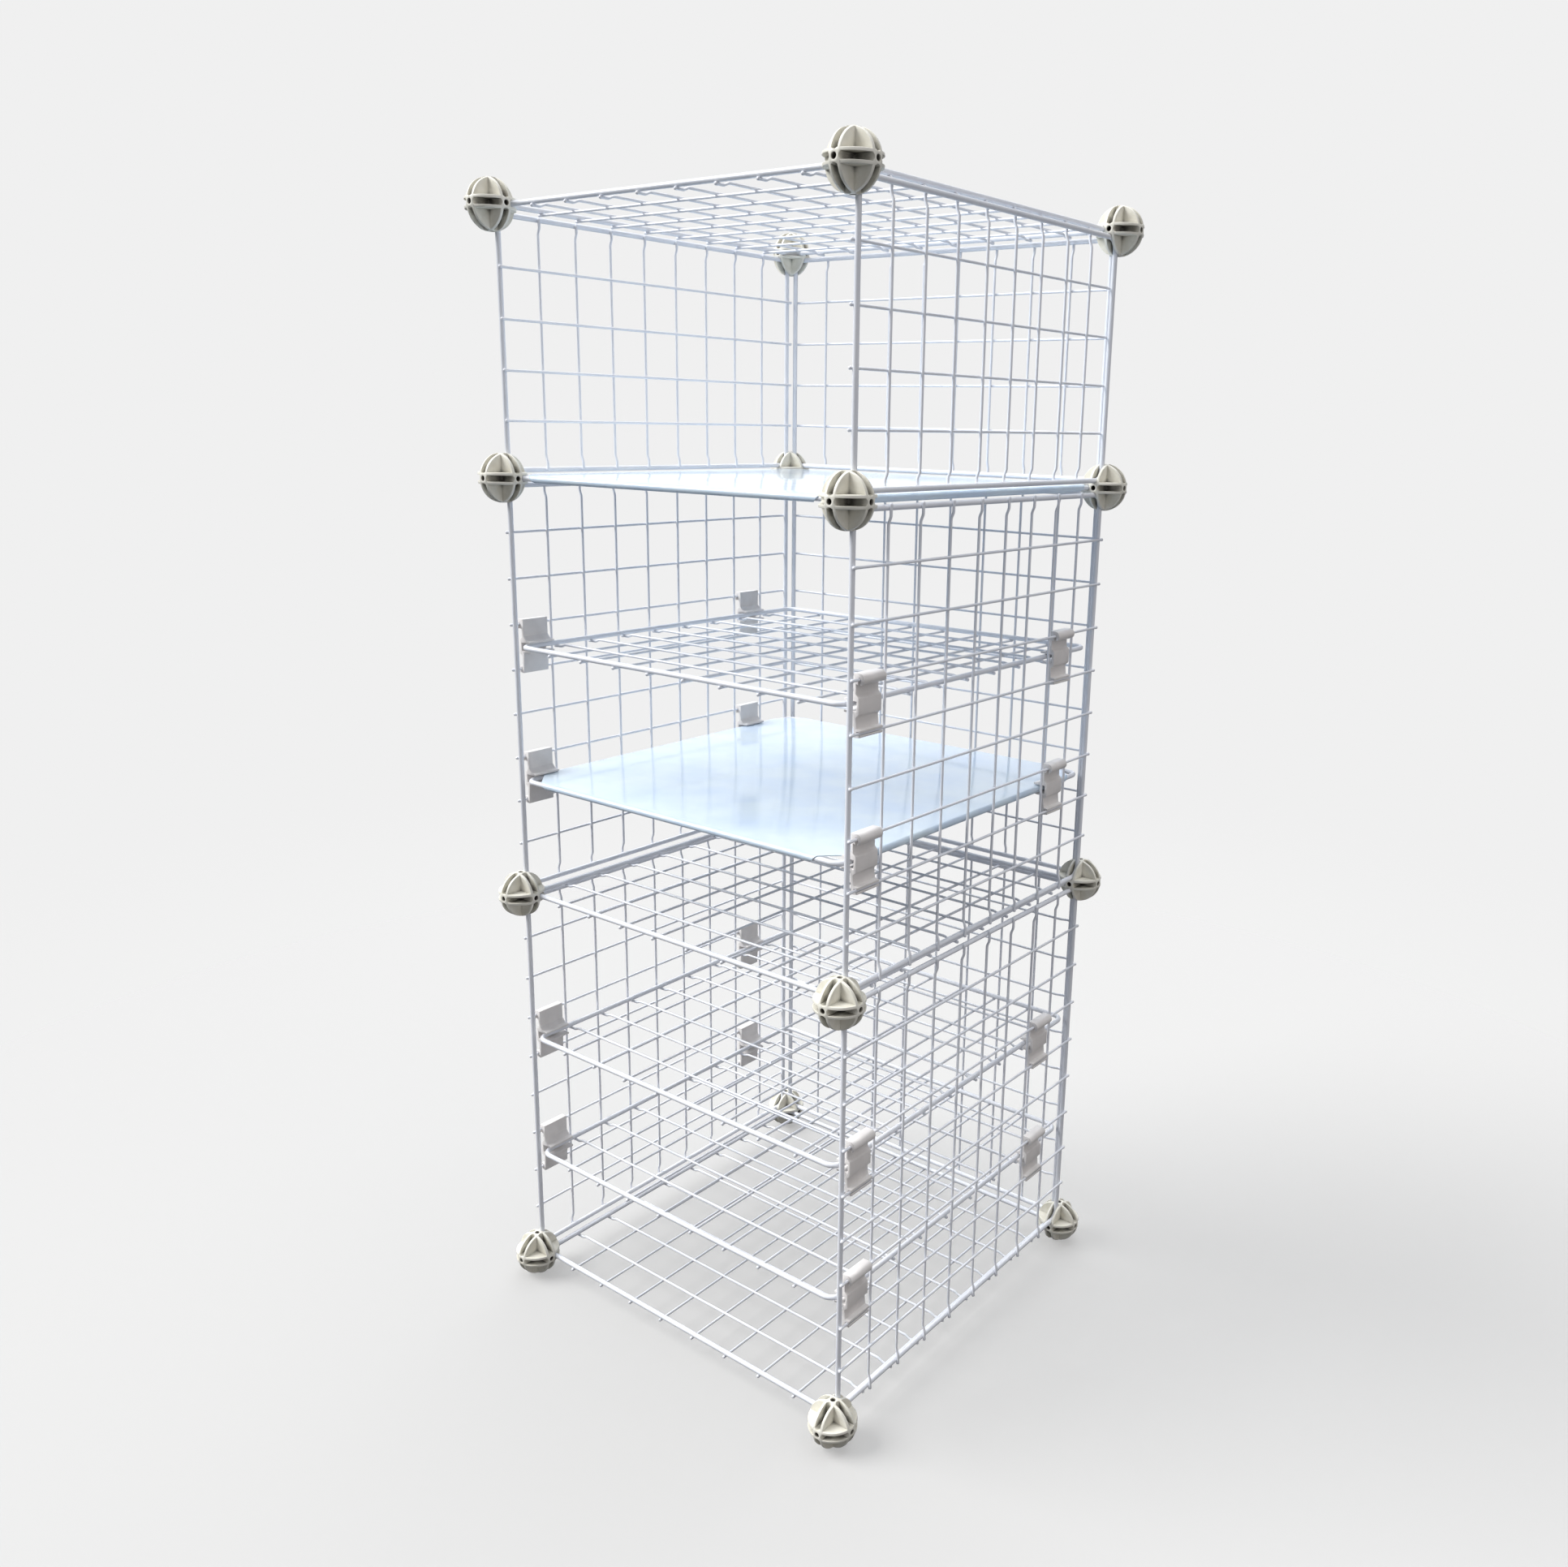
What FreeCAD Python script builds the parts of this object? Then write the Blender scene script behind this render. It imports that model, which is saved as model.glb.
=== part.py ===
"""Wire-grid cube storage tower: ball connectors, wire grids, plastic sheets, clip-on shelves.

A free-standing tower of three tiers, open to the front (-Y). Wire grids are held at
their corners by slotted ball connectors, and shelves slide into clips on the side walls.
Frame: +Z up, +X to the right seen from the front, origin at the centre of the base.
"""
import FreeCAD
import Part
import Sketcher
import math
import os

X = FreeCAD.Vector(1, 0, 0)
Y = FreeCAD.Vector(0, 1, 0)
Z = FreeCAD.Vector(0, 0, 1)
ROUND_STEP = 1.0 / 3.0                     # a third of a turn about the (1, 1, 1) diagonal
FULL_TURN = 360.0
START = 1                                  # a sketch edge's first end
END = 2
CENTRE = 3
ORIGIN = -1                                # a sketch's own origin point

# ---------------------------------------------------------------- driving dimensions, mm
SIZES = {
    # wire grids
    "panel_side": 350.0,        # outer side of a square grid
    "short_side": 200.0,        # outer height of a top-tier grid
    "frame_wire": 4.3,          # diameter of the frame wire
    "mesh_wire": 2.2,           # diameter of the mesh wires
    "corner_bend": 10.0,        # centreline radius of the frame's corners
    "cells_long": 9,            # mesh cells along the long side
    "cells_short": 5,           # mesh cells along the short side
    "weld_sink": 0.2,           # how far welded wires sink into each other
    "wire_overhang": 1.0,       # mesh wire tip past the frame's outer edge
    "trimmed_tip": 0.95,        # tip of a short grid's upright past the frame's centreline
    "crank_start": 5.0,         # frame centreline to the start of a mesh wire's crank
    "crank_length": 7.0,        # run of that crank
    # ball connectors
    "ball_radius": 20.0,
    "ball_pole": 19.7,          # centre to the flat at each pole
    "wire_offset": 6.0,         # ball axis to the frame wire's centreline
    "rib": 2.2,                 # thickness of a ball's rib
    "slot_gap": 5.0,            # width of the slot between two ribs
    "boss_half": 3.6,           # half width of the boss at each pole
    "pole_bore": 4.4,           # diameter of the blind hole in each boss
    "pole_depth": 11.0,
    # plastic sheets
    "sheet_gauge": 0.8,
    "hem_play": 0.05,           # frame wire to the hem rolled round it
    "sheet_corner": 22.0,       # corner cut, along the outer side
    # shelf clips, from the centre of the wire that they hang on
    "clip_length": 26.0,
    "clip_wall": 2.0,
    "roll_radius": 4.2,
    "roll_bore": 2.8,
    "roll_mouth": 2.4,
    "neck_face": -1.8,          # inner face of the neck, from the wall's frame plane
    "throat_height": 7.0,
    "throat_end": 1.0,          # closed end of the throat, from the wall's frame plane
    "lip_tip": -10.0,
    "lip_taper": 0.5,
    "gusset": 3.5,              # slanted web between the neck and the upper lip
    "block_rise": 3.5,          # block above and below the throat
    "jaw_gap": 2.7,
    "jaw_mouth": 1.9,
    "jaw_wall": 1.8,
    "jaw_root": 1.0,
    "jaw_tip": 4.8,
    "jaw_barb": 0.8,
    "jaw_chamfer": 0.6,
    "shelf_play": 0.35,         # shelf to the clip's lips
    "upper_clip_row": 3,        # wire, counted from a tier's top wire, that upper clips hang on
    "lower_clip_row": 6,
    "front_clip_cell": 0,       # mesh cell, counted from the front wire
    "back_clip_cell": 7,
}
FORMULAS = {
    "wire_radius": "frame_wire / 2",
    "mesh_radius": "mesh_wire / 2",
    "half_span": "(panel_side - frame_wire) / 2",
    "half_short": "(short_side - frame_wire) / 2",
    "pitch": "2 * half_span / cells_long",
    "short_pitch": "2 * half_short / cells_short",
    "weld_rise": "wire_radius + mesh_radius - weld_sink",
    "crank_rise": "weld_rise - mesh_wire + weld_sink",
    "tip_reach": "wire_radius + wire_overhang",
    "column": "half_span + wire_offset",
    "base_level": "ball_pole",
    "lower_level": "base_level + 2 * column",
    "upper_level": "lower_level + 2 * column",
    "top_level": "upper_level + 2 * (half_short + wire_offset)",
    "rib_face": "slot_gap / 2 + rib",
    "hem_bore": "wire_radius + hem_play",
    "hem_radius": "hem_bore + sheet_gauge",
    "neck_back": "neck_face + clip_wall",
    "throat_top": "-pitch / 2 + throat_height / 2",
    "throat_floor": "-pitch / 2 - throat_height / 2",
    "wire_shelf_drop": "-throat_top + wire_radius + shelf_play",
    "sheet_shelf_drop": "-throat_floor - hem_radius - shelf_play",
}

doc = FreeCAD.newDocument("StorageTower")
sizes = doc.addObject("Spreadsheet::Sheet", "Sizes")
for number, (name, amount) in enumerate(list(SIZES.items()) + list(FORMULAS.items()), start=1):
    sizes.set(f"A{number}", name)
    sizes.set(f"B{number}", str(amount) if name in SIZES else "=" + amount)
    sizes.setAlias(f"B{number}", name)
doc.recompute()


def size(name):
    """Value of a cell of the sheet."""
    return float(sizes.get(name))


def linked(formula):
    """Formula over the sheet's aliases, each written as a reference to the sheet."""
    text = ""
    word = ""
    for sign in formula + " ":
        if sign.isalnum() or sign == "_":
            word += sign
            continue
        if word in SIZES or word in FORMULAS:
            word = "Sizes." + word
        text += word + sign
        word = ""
    return text.strip()


def bind(thing, formulas):
    """Bind properties of an object to formulas over the sheet."""
    for prop, formula in formulas.items():
        thing.setExpression(prop, linked(formula))


# ---------------------------------------------------------------- sketch helpers
def own_plane(body, role):
    """One of a body's own origin planes or axes."""
    return next(item for item in body.Origin.OriginFeatures if item.Role == role)


def new_sketch(body, name, role, lift="0 * pitch"):
    """A sketch on a body's own origin plane, moved along its normal by a formula."""
    sketch = body.newObject("Sketcher::SketchObject", name)
    sketch.AttachmentSupport = [(own_plane(body, role), "")]
    sketch.MapMode = "FlatFace"
    bind(sketch, {"AttachmentOffset.Base.z": lift})
    return sketch


def dimension(sketch, kind, *places, formula):
    """Add a dimension at its present size, and bind it to a formula."""
    index = sketch.addConstraint(Sketcher.Constraint(kind, *places))
    sketch.setExpression(f"Constraints[{index}]", linked(formula))


def pin_point(sketch, edge, end, point, across, up):
    """Place a point of a sketch edge by two formulas over the sheet."""
    dimension(sketch, "DistanceX", edge, end, point.x, formula=across)
    dimension(sketch, "DistanceY", edge, end, point.y, formula=up)


def circle(sketch, across, up, radius):
    """Draw a circle whose place and radius are formulas; it starts at its rough place."""
    start = FreeCAD.Vector(value_of(sketch, across), value_of(sketch, up), 0)
    length = value_of(sketch, radius)
    edge = sketch.addGeometry(Part.Circle(start, Z, length))
    pin_point(sketch, edge, CENTRE, start, across, up)
    dimension(sketch, "Radius", edge, length, formula=radius)


def value_of(thing, formula):
    """Present value of a formula over the sheet."""
    return float(thing.evalExpression(linked(formula)))


def arc(centre, start, end, turn):
    """Arc about a centre from one point to another; turn is 1 anticlockwise, -1 clockwise."""
    radius = centre.distanceToPoint(start)
    first = math.atan2(start.y - centre.y, start.x - centre.x)
    last = math.atan2(end.y - centre.y, end.x - centre.x)
    if turn < 0:
        first, last = last, first
    if last <= first:
        last += 2 * math.pi
    return Part.ArcOfCircle(Part.Circle(centre, Z, radius), first, last)


# ---------------------------------------------------------------- wire grids
def draw_frame_path(body, half_up):
    """Sketch the rounded rectangle that a frame wire is bent to."""
    sketch = new_sketch(body, body.Name + "_path", "XY_Plane")
    side = size("half_span")
    rise = size(half_up)
    bend = size("corner_bend")
    corners = [(side, -rise), (side, rise), (-side, rise), (-side, -rise)]
    edges = []
    for number, (across, up) in enumerate(corners):
        last_across, last_up = corners[number - 1]
        along = FreeCAD.Vector(across - last_across, up - last_up, 0).normalize() * bend
        start = FreeCAD.Vector(last_across, last_up, 0) + along
        end = FreeCAD.Vector(across, up, 0) - along
        inward = FreeCAD.Vector(-along.y, along.x, 0)
        edges.append(Part.LineSegment(start, end))
        edges.append(arc(end + inward, end, end + inward + along, 1))
    sketch.addGeometry(edges)
    count = len(edges)
    for edge in range(count):
        sketch.addConstraint(Sketcher.Constraint("Tangent", edge, END, (edge + 1) % count, START))
    for line in range(0, count, 4):
        sketch.addConstraint(Sketcher.Constraint("Horizontal", line))
        sketch.addConstraint(Sketcher.Constraint("Vertical", line + 2))
    for bend_edge in range(3, count, 2):
        sketch.addConstraint(Sketcher.Constraint("Equal", 1, bend_edge))
    dimension(sketch, "Radius", 1, bend, formula="corner_bend")
    dimension(sketch, "DistanceY", 0, START, -rise, formula="-" + half_up)
    dimension(sketch, "DistanceX", 2, START, side, formula="half_span")
    dimension(sketch, "DistanceY", 4, START, rise, formula=half_up)
    dimension(sketch, "DistanceX", 6, START, -side, formula="-half_span")
    return sketch


def add_frame_wire(body, half_up):
    """Sweep the frame wire round its path."""
    path = draw_frame_path(body, half_up)
    section = new_sketch(body, body.Name + "_wire", "XZ_Plane")
    circle(section, "half_span", "0 * half_span", "wire_radius")
    wire = body.newObject("PartDesign::AdditivePipe", body.Name + "_frame")
    wire.Profile = section
    wire.Spine = path
    wire.Refine = False
    body.Tip = wire


def repeat(body, feature, role, count, step):
    """Repeat a wire along one of the body's axes, a mesh pitch apart."""
    pattern = body.newObject("PartDesign::LinearPattern", feature.Name + "_set")
    pattern.Originals = [feature]
    pattern.Direction = (own_plane(body, role), [""])
    pattern.Refine = False
    bind(pattern, {"Length": f"({count} - 2) * {step}", "Occurrences": f"{count} - 1"})
    body.Tip = pattern


def add_straight_wires(body, count, step):
    """Weld the straight mesh wires, which run along the body's X, across the frame."""
    section = new_sketch(body, body.Name + "_straight_wire", "YZ_Plane")
    circle(section, f"-({count} / 2 - 1) * {step}", "weld_rise", "mesh_radius")
    wire = body.newObject("PartDesign::Pad", body.Name + "_straight")
    wire.Profile = section
    wire.SideType = "Symmetric"
    wire.Refine = False
    bind(wire, {"Length": "2 * (half_span + tip_reach)"})
    body.Tip = wire
    repeat(body, wire, "Y_Axis", count, step)


def draw_crank_path(body, half_up, tip):
    """Sketch a mesh wire that dips behind the straight ones and cranks up at both ends."""
    lift = "-(cells_long / 2 - 1) * pitch"
    sketch = new_sketch(body, body.Name + "_crank_path", "YZ_Plane", lift)
    reach = f"({half_up} + {tip})"
    top = f"({half_up} - crank_start)"
    foot = f"({half_up} - crank_start - crank_length)"
    stations = [("-" + reach, "weld_rise"), ("-" + top, "weld_rise"), ("-" + foot, "crank_rise"),
                (foot, "crank_rise"), (top, "weld_rise"), (reach, "weld_rise")]
    points = [FreeCAD.Vector(value_of(sketch, across), value_of(sketch, up), 0)
              for across, up in stations]
    fall = size("weld_rise") - size("crank_rise")
    run = size("crank_length")
    bend = (fall * fall + run * run) / (4 * fall)
    down = FreeCAD.Vector(0, bend, 0)
    first_mid = (points[1] + points[2]) * 0.5
    last_mid = (points[3] + points[4]) * 0.5
    sketch.addGeometry([
        Part.LineSegment(points[0], points[1]),
        arc(points[1] - down, points[1], first_mid, -1),
        arc(points[2] + down, first_mid, points[2], 1),
        Part.LineSegment(points[2], points[3]),
        arc(points[3] + down, points[3], last_mid, 1),
        arc(points[4] - down, last_mid, points[4], -1),
        Part.LineSegment(points[4], points[5]),
    ])
    # a clockwise bend's own start is where the wire leaves it
    joints = [(0, END, 1, END), (1, START, 2, START), (2, END, 3, START),
              (3, END, 4, START), (4, END, 5, END), (5, START, 6, START)]
    for joint in joints:
        sketch.addConstraint(Sketcher.Constraint("Tangent", *joint))
    for line in (0, 3, 6):
        sketch.addConstraint(Sketcher.Constraint("Horizontal", line))
    sketch.addConstraint(Sketcher.Constraint("Equal", 1, 2))
    sketch.addConstraint(Sketcher.Constraint("Equal", 4, 5))
    for line, station in ((0, 0), (3, 2), (6, 4)):
        point = points[station]
        pin_point(sketch, line, START, point, *stations[station])
        end = station + 1
        dimension(sketch, "DistanceX", line, END, points[end].x, formula=stations[end][0])
    return sketch


def add_cranked_wires(body, half_up, tip):
    """Weld the cranked mesh wires, which run along the body's Y."""
    path = draw_crank_path(body, half_up, tip)
    section = new_sketch(body, body.Name + "_crank_wire", "XZ_Plane", f"{half_up} + {tip}")
    circle(section, "-(cells_long / 2 - 1) * pitch", "weld_rise", "mesh_radius")
    wire = body.newObject("PartDesign::AdditivePipe", body.Name + "_crank")
    wire.Profile = section
    wire.Spine = path
    wire.Refine = False
    body.Tip = wire
    repeat(body, wire, "X_Axis", "cells_long", "pitch")


def make_grid(name, half_up, count, step, tip):
    """A welded wire grid in its own XY plane, with its mesh on the +Z side."""
    body = doc.addObject("PartDesign::Body", name)
    add_frame_wire(body, half_up)
    add_straight_wires(body, count, step)
    add_cranked_wires(body, half_up, tip)
    return body


# ---------------------------------------------------------------- plastic sheet panels
def make_sheet(name):
    """A plastic sheet with its four sides rolled round a frame wire and its corners cut."""
    body = doc.addObject("PartDesign::Body", name)
    plan = new_sketch(body, name + "_plan", "XY_Plane", "hem_bore")
    side = size("half_span")
    corners = [("-", "-"), ("", "-"), ("", ""), ("-", "")]
    points = [FreeCAD.Vector(side if not across else -side, side if not up else -side, 0)
              for across, up in corners]
    for number, point in enumerate(points):
        plan.addGeometry(Part.LineSegment(point, points[(number + 1) % 4]))
    for number, (across, up) in enumerate(corners):
        previous = (number - 1) % 4
        plan.addConstraint(Sketcher.Constraint("Coincident", previous, END, number, START))
        pin_point(plan, number, START, points[number], across + "half_span", up + "half_span")
    web = body.newObject("PartDesign::Pad", name + "_web")
    web.Profile = plan
    bind(web, {"Length": "sheet_gauge"})
    body.Tip = web

    ring = new_sketch(body, name + "_hem_ring", "XZ_Plane")
    for radius in ("hem_bore", "hem_radius"):
        circle(ring, "half_span", "0 * half_span", radius)
    hem = body.newObject("PartDesign::Pad", name + "_hem")
    hem.Profile = ring
    hem.SideType = "Symmetric"
    bind(hem, {"Length": "panel_side - sheet_corner"})
    body.Tip = hem
    hems = body.newObject("PartDesign::PolarPattern", name + "_hems")
    hems.Originals = [hem]
    hems.Axis = (own_plane(body, "Z_Axis"), [""])
    hems.Angle = FULL_TURN
    hems.Occurrences = 4
    body.Tip = hems

    cut = new_sketch(body, name + "_corner_plan", "XY_Plane")
    reach = "panel_side / 2 + hem_radius"
    near = f"{reach} - 2 * hem_radius - sheet_corner + wire_radius"
    stations = [(near, reach), (reach, near), (reach, reach)]
    places = [FreeCAD.Vector(value_of(cut, across), value_of(cut, up), 0) for across, up in stations]
    for number, place in enumerate(places):
        cut.addGeometry(Part.LineSegment(place, places[(number + 1) % 3]))
    for number, (across, up) in enumerate(stations):
        cut.addConstraint(Sketcher.Constraint("Coincident", (number - 1) % 3, END, number, START))
        pin_point(cut, number, START, places[number], across, up)
    corner = body.newObject("PartDesign::Pocket", name + "_corner")
    corner.Profile = cut
    corner.SideType = "Symmetric"
    bind(corner, {"Length": "4 * hem_radius"})
    body.Tip = corner
    corner_cuts = body.newObject("PartDesign::PolarPattern", name + "_corners")
    corner_cuts.Originals = [corner]
    corner_cuts.Axis = (own_plane(body, "Z_Axis"), [""])
    corner_cuts.Angle = FULL_TURN
    corner_cuts.Occurrences = 4
    body.Tip = corner_cuts
    return body


def make_frame(name):
    """The bare wire frame inside a plastic sheet panel."""
    body = doc.addObject("PartDesign::Body", name)
    add_frame_wire(body, "half_span")
    return body


# ---------------------------------------------------------------- shelf clip
def clip_outline():
    """Corners of the clip's section (outward, up) as formulas, and the arcs between them.

    A corner's third item names the arc that leads to the next corner, if it isn't a line.
    """
    roll_edge = "sqrt(roll_radius ^ 2 - roll_mouth ^ 2 / 4)"
    bore_edge = "sqrt(roll_bore ^ 2 / 4 - roll_mouth ^ 2 / 4)"
    neck_edge = "sqrt(roll_radius ^ 2 - (weld_rise - neck_back) ^ 2)"
    half_gap = "jaw_gap / 2"
    return [
        ("neck_face", "roll_radius", None),
        ("weld_rise", "roll_radius", "roll"),
        ("weld_rise + roll_mouth / 2", "-" + roll_edge, None),
        ("weld_rise + roll_mouth / 2", "-" + bore_edge, "bore"),
        ("weld_rise - roll_mouth / 2", "-" + bore_edge, None),
        ("weld_rise - roll_mouth / 2", "-" + roll_edge, "roll"),
        ("neck_back", "-" + neck_edge, None),
        ("neck_back", "throat_top + block_rise", None),
        ("throat_end + clip_wall", "throat_top + block_rise - jaw_chamfer", None),
        ("throat_end + clip_wall", "throat_floor - block_rise + jaw_chamfer", None),
        ("neck_back", "throat_floor - block_rise", None),
        ("jaw_root", f"-pitch + {half_gap} + jaw_wall", None),
        ("jaw_tip", f"-pitch + {half_gap} + jaw_wall - jaw_chamfer", None),
        ("jaw_tip", "-pitch + jaw_mouth / 2", None),
        ("jaw_tip - jaw_barb", "-pitch + jaw_mouth / 2", None),
        ("jaw_tip - jaw_barb", f"-pitch + {half_gap}", None),
        ("jaw_root", f"-pitch + {half_gap}", None),
        ("jaw_root", f"-pitch - {half_gap}", None),
        ("jaw_tip - jaw_barb", f"-pitch - {half_gap}", None),
        ("jaw_tip - jaw_barb", "-pitch - jaw_mouth / 2", None),
        ("jaw_tip", "-pitch - jaw_mouth / 2", None),
        ("jaw_tip", f"-pitch - {half_gap} - jaw_wall + jaw_chamfer", None),
        ("jaw_root", f"-pitch - {half_gap} - jaw_wall", None),
        ("jaw_root - clip_wall", f"-pitch - {half_gap} - jaw_wall", None),
        ("neck_face", "throat_floor - block_rise", None),
        ("neck_face", "throat_floor - clip_wall", None),
        ("lip_tip", "throat_floor - clip_wall + lip_taper", None),
        ("lip_tip", "throat_floor", None),
        ("throat_end", "throat_floor", None),
        ("throat_end", "throat_top", None),
        ("lip_tip", "throat_top", None),
        ("lip_tip", "throat_top + clip_wall - lip_taper", None),
        ("neck_face - gusset", "throat_top + clip_wall", None),
        ("neck_face", "throat_top + clip_wall + gusset", None),
    ]


def make_clip(name):
    """A shelf clip: a section that rolls over one wall wire and snaps on the next below."""
    body = doc.addObject("PartDesign::Body", name)
    sketch = new_sketch(body, name + "_section", "XZ_Plane")
    outline = clip_outline()
    points = [FreeCAD.Vector(value_of(sketch, across), value_of(sketch, up), 0)
              for across, up, _ in outline]
    hub = FreeCAD.Vector(size("weld_rise"), 0, 0)
    turns = {"roll": -1, "bore": 1}
    count = len(points)
    for number, (_, _, curve) in enumerate(outline):
        start = points[number]
        end = points[(number + 1) % count]
        if curve:
            sketch.addGeometry(arc(hub, start, end, turns[curve]))
        else:
            sketch.addGeometry(Part.LineSegment(start, end))
    for number, (across, up, curve) in enumerate(outline):
        last = (number - 1) % count
        last_end = START if turns.get(outline[last][2]) == -1 else END
        own_start = END if turns.get(curve) == -1 else START
        sketch.addConstraint(Sketcher.Constraint("Coincident", last, last_end, number, own_start))
        if curve:
            dimension(sketch, "DistanceY", number, CENTRE, 0.0, formula="0 * pitch")
        pin_point(sketch, number, own_start, points[number], across, up)
    pad = body.newObject("PartDesign::Pad", name + "_pad")
    pad.Profile = sketch
    pad.SideType = "Symmetric"
    bind(pad, {"Length": "clip_length"})
    body.Tip = pad
    return body


# ---------------------------------------------------------------- ball connector
def add_box(name, low, high):
    """A box between two corners, each three formulas over the sheet."""
    box = doc.addObject("Part::Box", name)
    spans = [f"({top}) - ({bottom})" for bottom, top in zip(low, high)]
    bind(box, dict(zip(("Length", "Width", "Height"), spans)))
    bind(box, dict(zip(("Placement.Base.x", "Placement.Base.y", "Placement.Base.z"), low)))
    return box


def gather(kind, name, shapes):
    """A multi-part boolean of several objects."""
    result = doc.addObject(kind, name)
    result.Shapes = shapes
    return result


def turned(name, thing, rotation):
    """A copy of an object, turned about the origin."""
    copy = doc.addObject("Part::Compound", name)
    copy.Links = [thing]
    copy.Placement = FreeCAD.Placement(FreeCAD.Vector(), rotation)
    return copy


def axis_turns():
    """Rotations that take Z to Z, X and Y in turn."""
    diagonal = X + Y + Z
    return [FreeCAD.Rotation(diagonal, FULL_TURN * ROUND_STEP * step) for step in range(3)]


def ball_ribs():
    """Pairs of square ribs and a boss bar for each axis, before they are rounded."""
    ribs = []
    wide = ("-ball_radius", "-ball_radius")
    over = ("ball_radius", "ball_radius")
    plates = [add_box("rib_above", (*wide, "slot_gap / 2"), (*over, "rib_face")),
              add_box("rib_below", (*wide, "-rib_face"), (*over, "-slot_gap / 2")),
              add_box("boss", ("-boss_half", "-boss_half", "-ball_radius"),
                      ("boss_half", "boss_half", "ball_radius"))]
    for number, turn in enumerate(axis_turns()):
        for plate in plates:
            ribs.append(turned(f"{plate.Name}_{number}", plate, turn))
    return gather("Part::MultiFuse", "ball_ribs", ribs)


def slot_tool():
    """The round-ended slot that takes one corner of a grid, in the +X +Y quadrant."""
    inner = "boss_half + slot_gap / 2"
    reach = "2 * ball_radius"
    half = "slot_gap / 2"
    middle = add_box("slot_middle", (inner, inner, "-" + half), (reach, reach, half))
    pieces = [middle]
    for name, side, direction in (("slot_side_x", "x", X), ("slot_side_y", "y", Y)):
        rod = doc.addObject("Part::Cylinder", name)
        bind(rod, {"Radius": half, "Height": reach})
        rod.Placement.Rotation = FreeCAD.Rotation(Z, direction)
        bind(rod, {"Placement.Base.x": inner, "Placement.Base.y": inner})
        pieces.append(rod)
    knob = doc.addObject("Part::Sphere", "slot_corner")
    bind(knob, {"Radius": half, "Placement.Base.x": inner, "Placement.Base.y": inner})
    pieces.append(knob)
    return gather("Part::MultiFuse", "slot_tool", pieces)


def pole_tool():
    """The drill for the blind hole in the boss at the upper pole."""
    drill = doc.addObject("Part::Cylinder", "pole_tool")
    bind(drill, {"Radius": "pole_bore / 2", "Height": "2 * pole_depth",
                 "Placement.Base.z": "ball_pole - pole_depth"})
    return drill


def make_ball(name):
    """A ball connector: three crossed pairs of round ribs, slotted for twelve grid corners."""
    globe = doc.addObject("Part::Sphere", "ball_globe")
    bind(globe, {"Radius": "ball_radius"})
    flats = add_box("ball_flats", ("-ball_pole",) * 3, ("ball_pole",) * 3)
    blank = gather("Part::MultiCommon", "ball_blank", [ball_ribs(), globe, flats])
    slot = slot_tool()
    drill = pole_tool()
    cuts = []
    for number, turn in enumerate(axis_turns()):
        for quarter in range(4):
            spin = turn.multiply(FreeCAD.Rotation(Z, FULL_TURN / 4 * quarter))
            cuts.append(turned(f"slot_{number}_{quarter}", slot, spin))
        for end in range(2):
            flip = turn.multiply(FreeCAD.Rotation(X, FULL_TURN / 2 * end))
            cuts.append(turned(f"bore_{number}_{end}", drill, flip))
    ball = doc.addObject("Part::Cut", name)
    ball.Base = blank
    ball.Tool = gather("Part::MultiFuse", "ball_cuts", cuts)
    return ball


# ---------------------------------------------------------------- assembly
nodes = []


def place(label, master, centre, straight=X, mesh_side=Z):
    """Put a copy of a master in the tower as a named node.

    centre holds three formulas; straight and mesh_side are where the master's own
    X (its straight wires) and Z (its mesh side) point.
    """
    node = doc.addObject("Part::Compound", label)
    node.Label = label
    node.Links = [master]
    node.Placement.Rotation = FreeCAD.Rotation(straight, mesh_side.cross(straight), mesh_side, "ZXY")
    bind(node, dict(zip(("Placement.Base.x", "Placement.Base.y", "Placement.Base.z"), centre)))
    nodes.append(node)


square_grid = make_grid("square_grid", "half_span", "cells_long", "pitch", "tip_reach")
short_grid = make_grid("short_grid", "half_short", "cells_short", "short_pitch", "trimmed_tip")
panel_frame = make_frame("panel_frame")
panel_sheet = make_sheet("panel_sheet")
shelf_clip = make_clip("shelf_clip")
ball = make_ball("ball")

LEVELS = ("base", "lower", "upper", "top")
SIDES = {"left": ("-column", -X), "right": ("column", X)}
ENDS = {"front": "-column", "back": "column"}
TIERS = {"bottom": ("base", "lower"), "middle": ("lower", "upper"), "top": ("upper", "top")}
MIDDLE = "0 * pitch"

# a ball at every corner of every level
for level in LEVELS:
    for side, (across, _) in SIDES.items():
        for end, back in ENDS.items():
            place(f"ball_{level}_{end}_{side}", ball, (across, back, f"{level}_level"))

# horizontal panels, mesh underneath
place("base_grid", square_grid, (MIDDLE, MIDDLE, "base_level"), Y, -Z)
place("lower_deck_grid", square_grid, (MIDDLE, MIDDLE, "lower_level"), Y, -Z)
place("upper_deck_frame", panel_frame, (MIDDLE, MIDDLE, "upper_level"))
place("upper_deck_sheet", panel_sheet, (MIDDLE, MIDDLE, "upper_level"))
place("top_grid", square_grid, (MIDDLE, MIDDLE, "top_level"), X, -Z)

# walls: the top tier's side walls have their mesh inside, all others outside
for tier, (below, above) in TIERS.items():
    height = f"({below}_level + {above}_level) / 2"
    master = short_grid if tier == "top" else square_grid
    for side, (across, outward) in SIDES.items():
        mesh_side = -outward if tier == "top" else outward
        place(f"{tier}_{side}_wall", master, (across, MIDDLE, height), Z.cross(-mesh_side), mesh_side)
    back_run = Z if tier == "bottom" else -X
    place(f"{tier}_back_wall", master, (MIDDLE, "column", height), back_run, Y)

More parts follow.
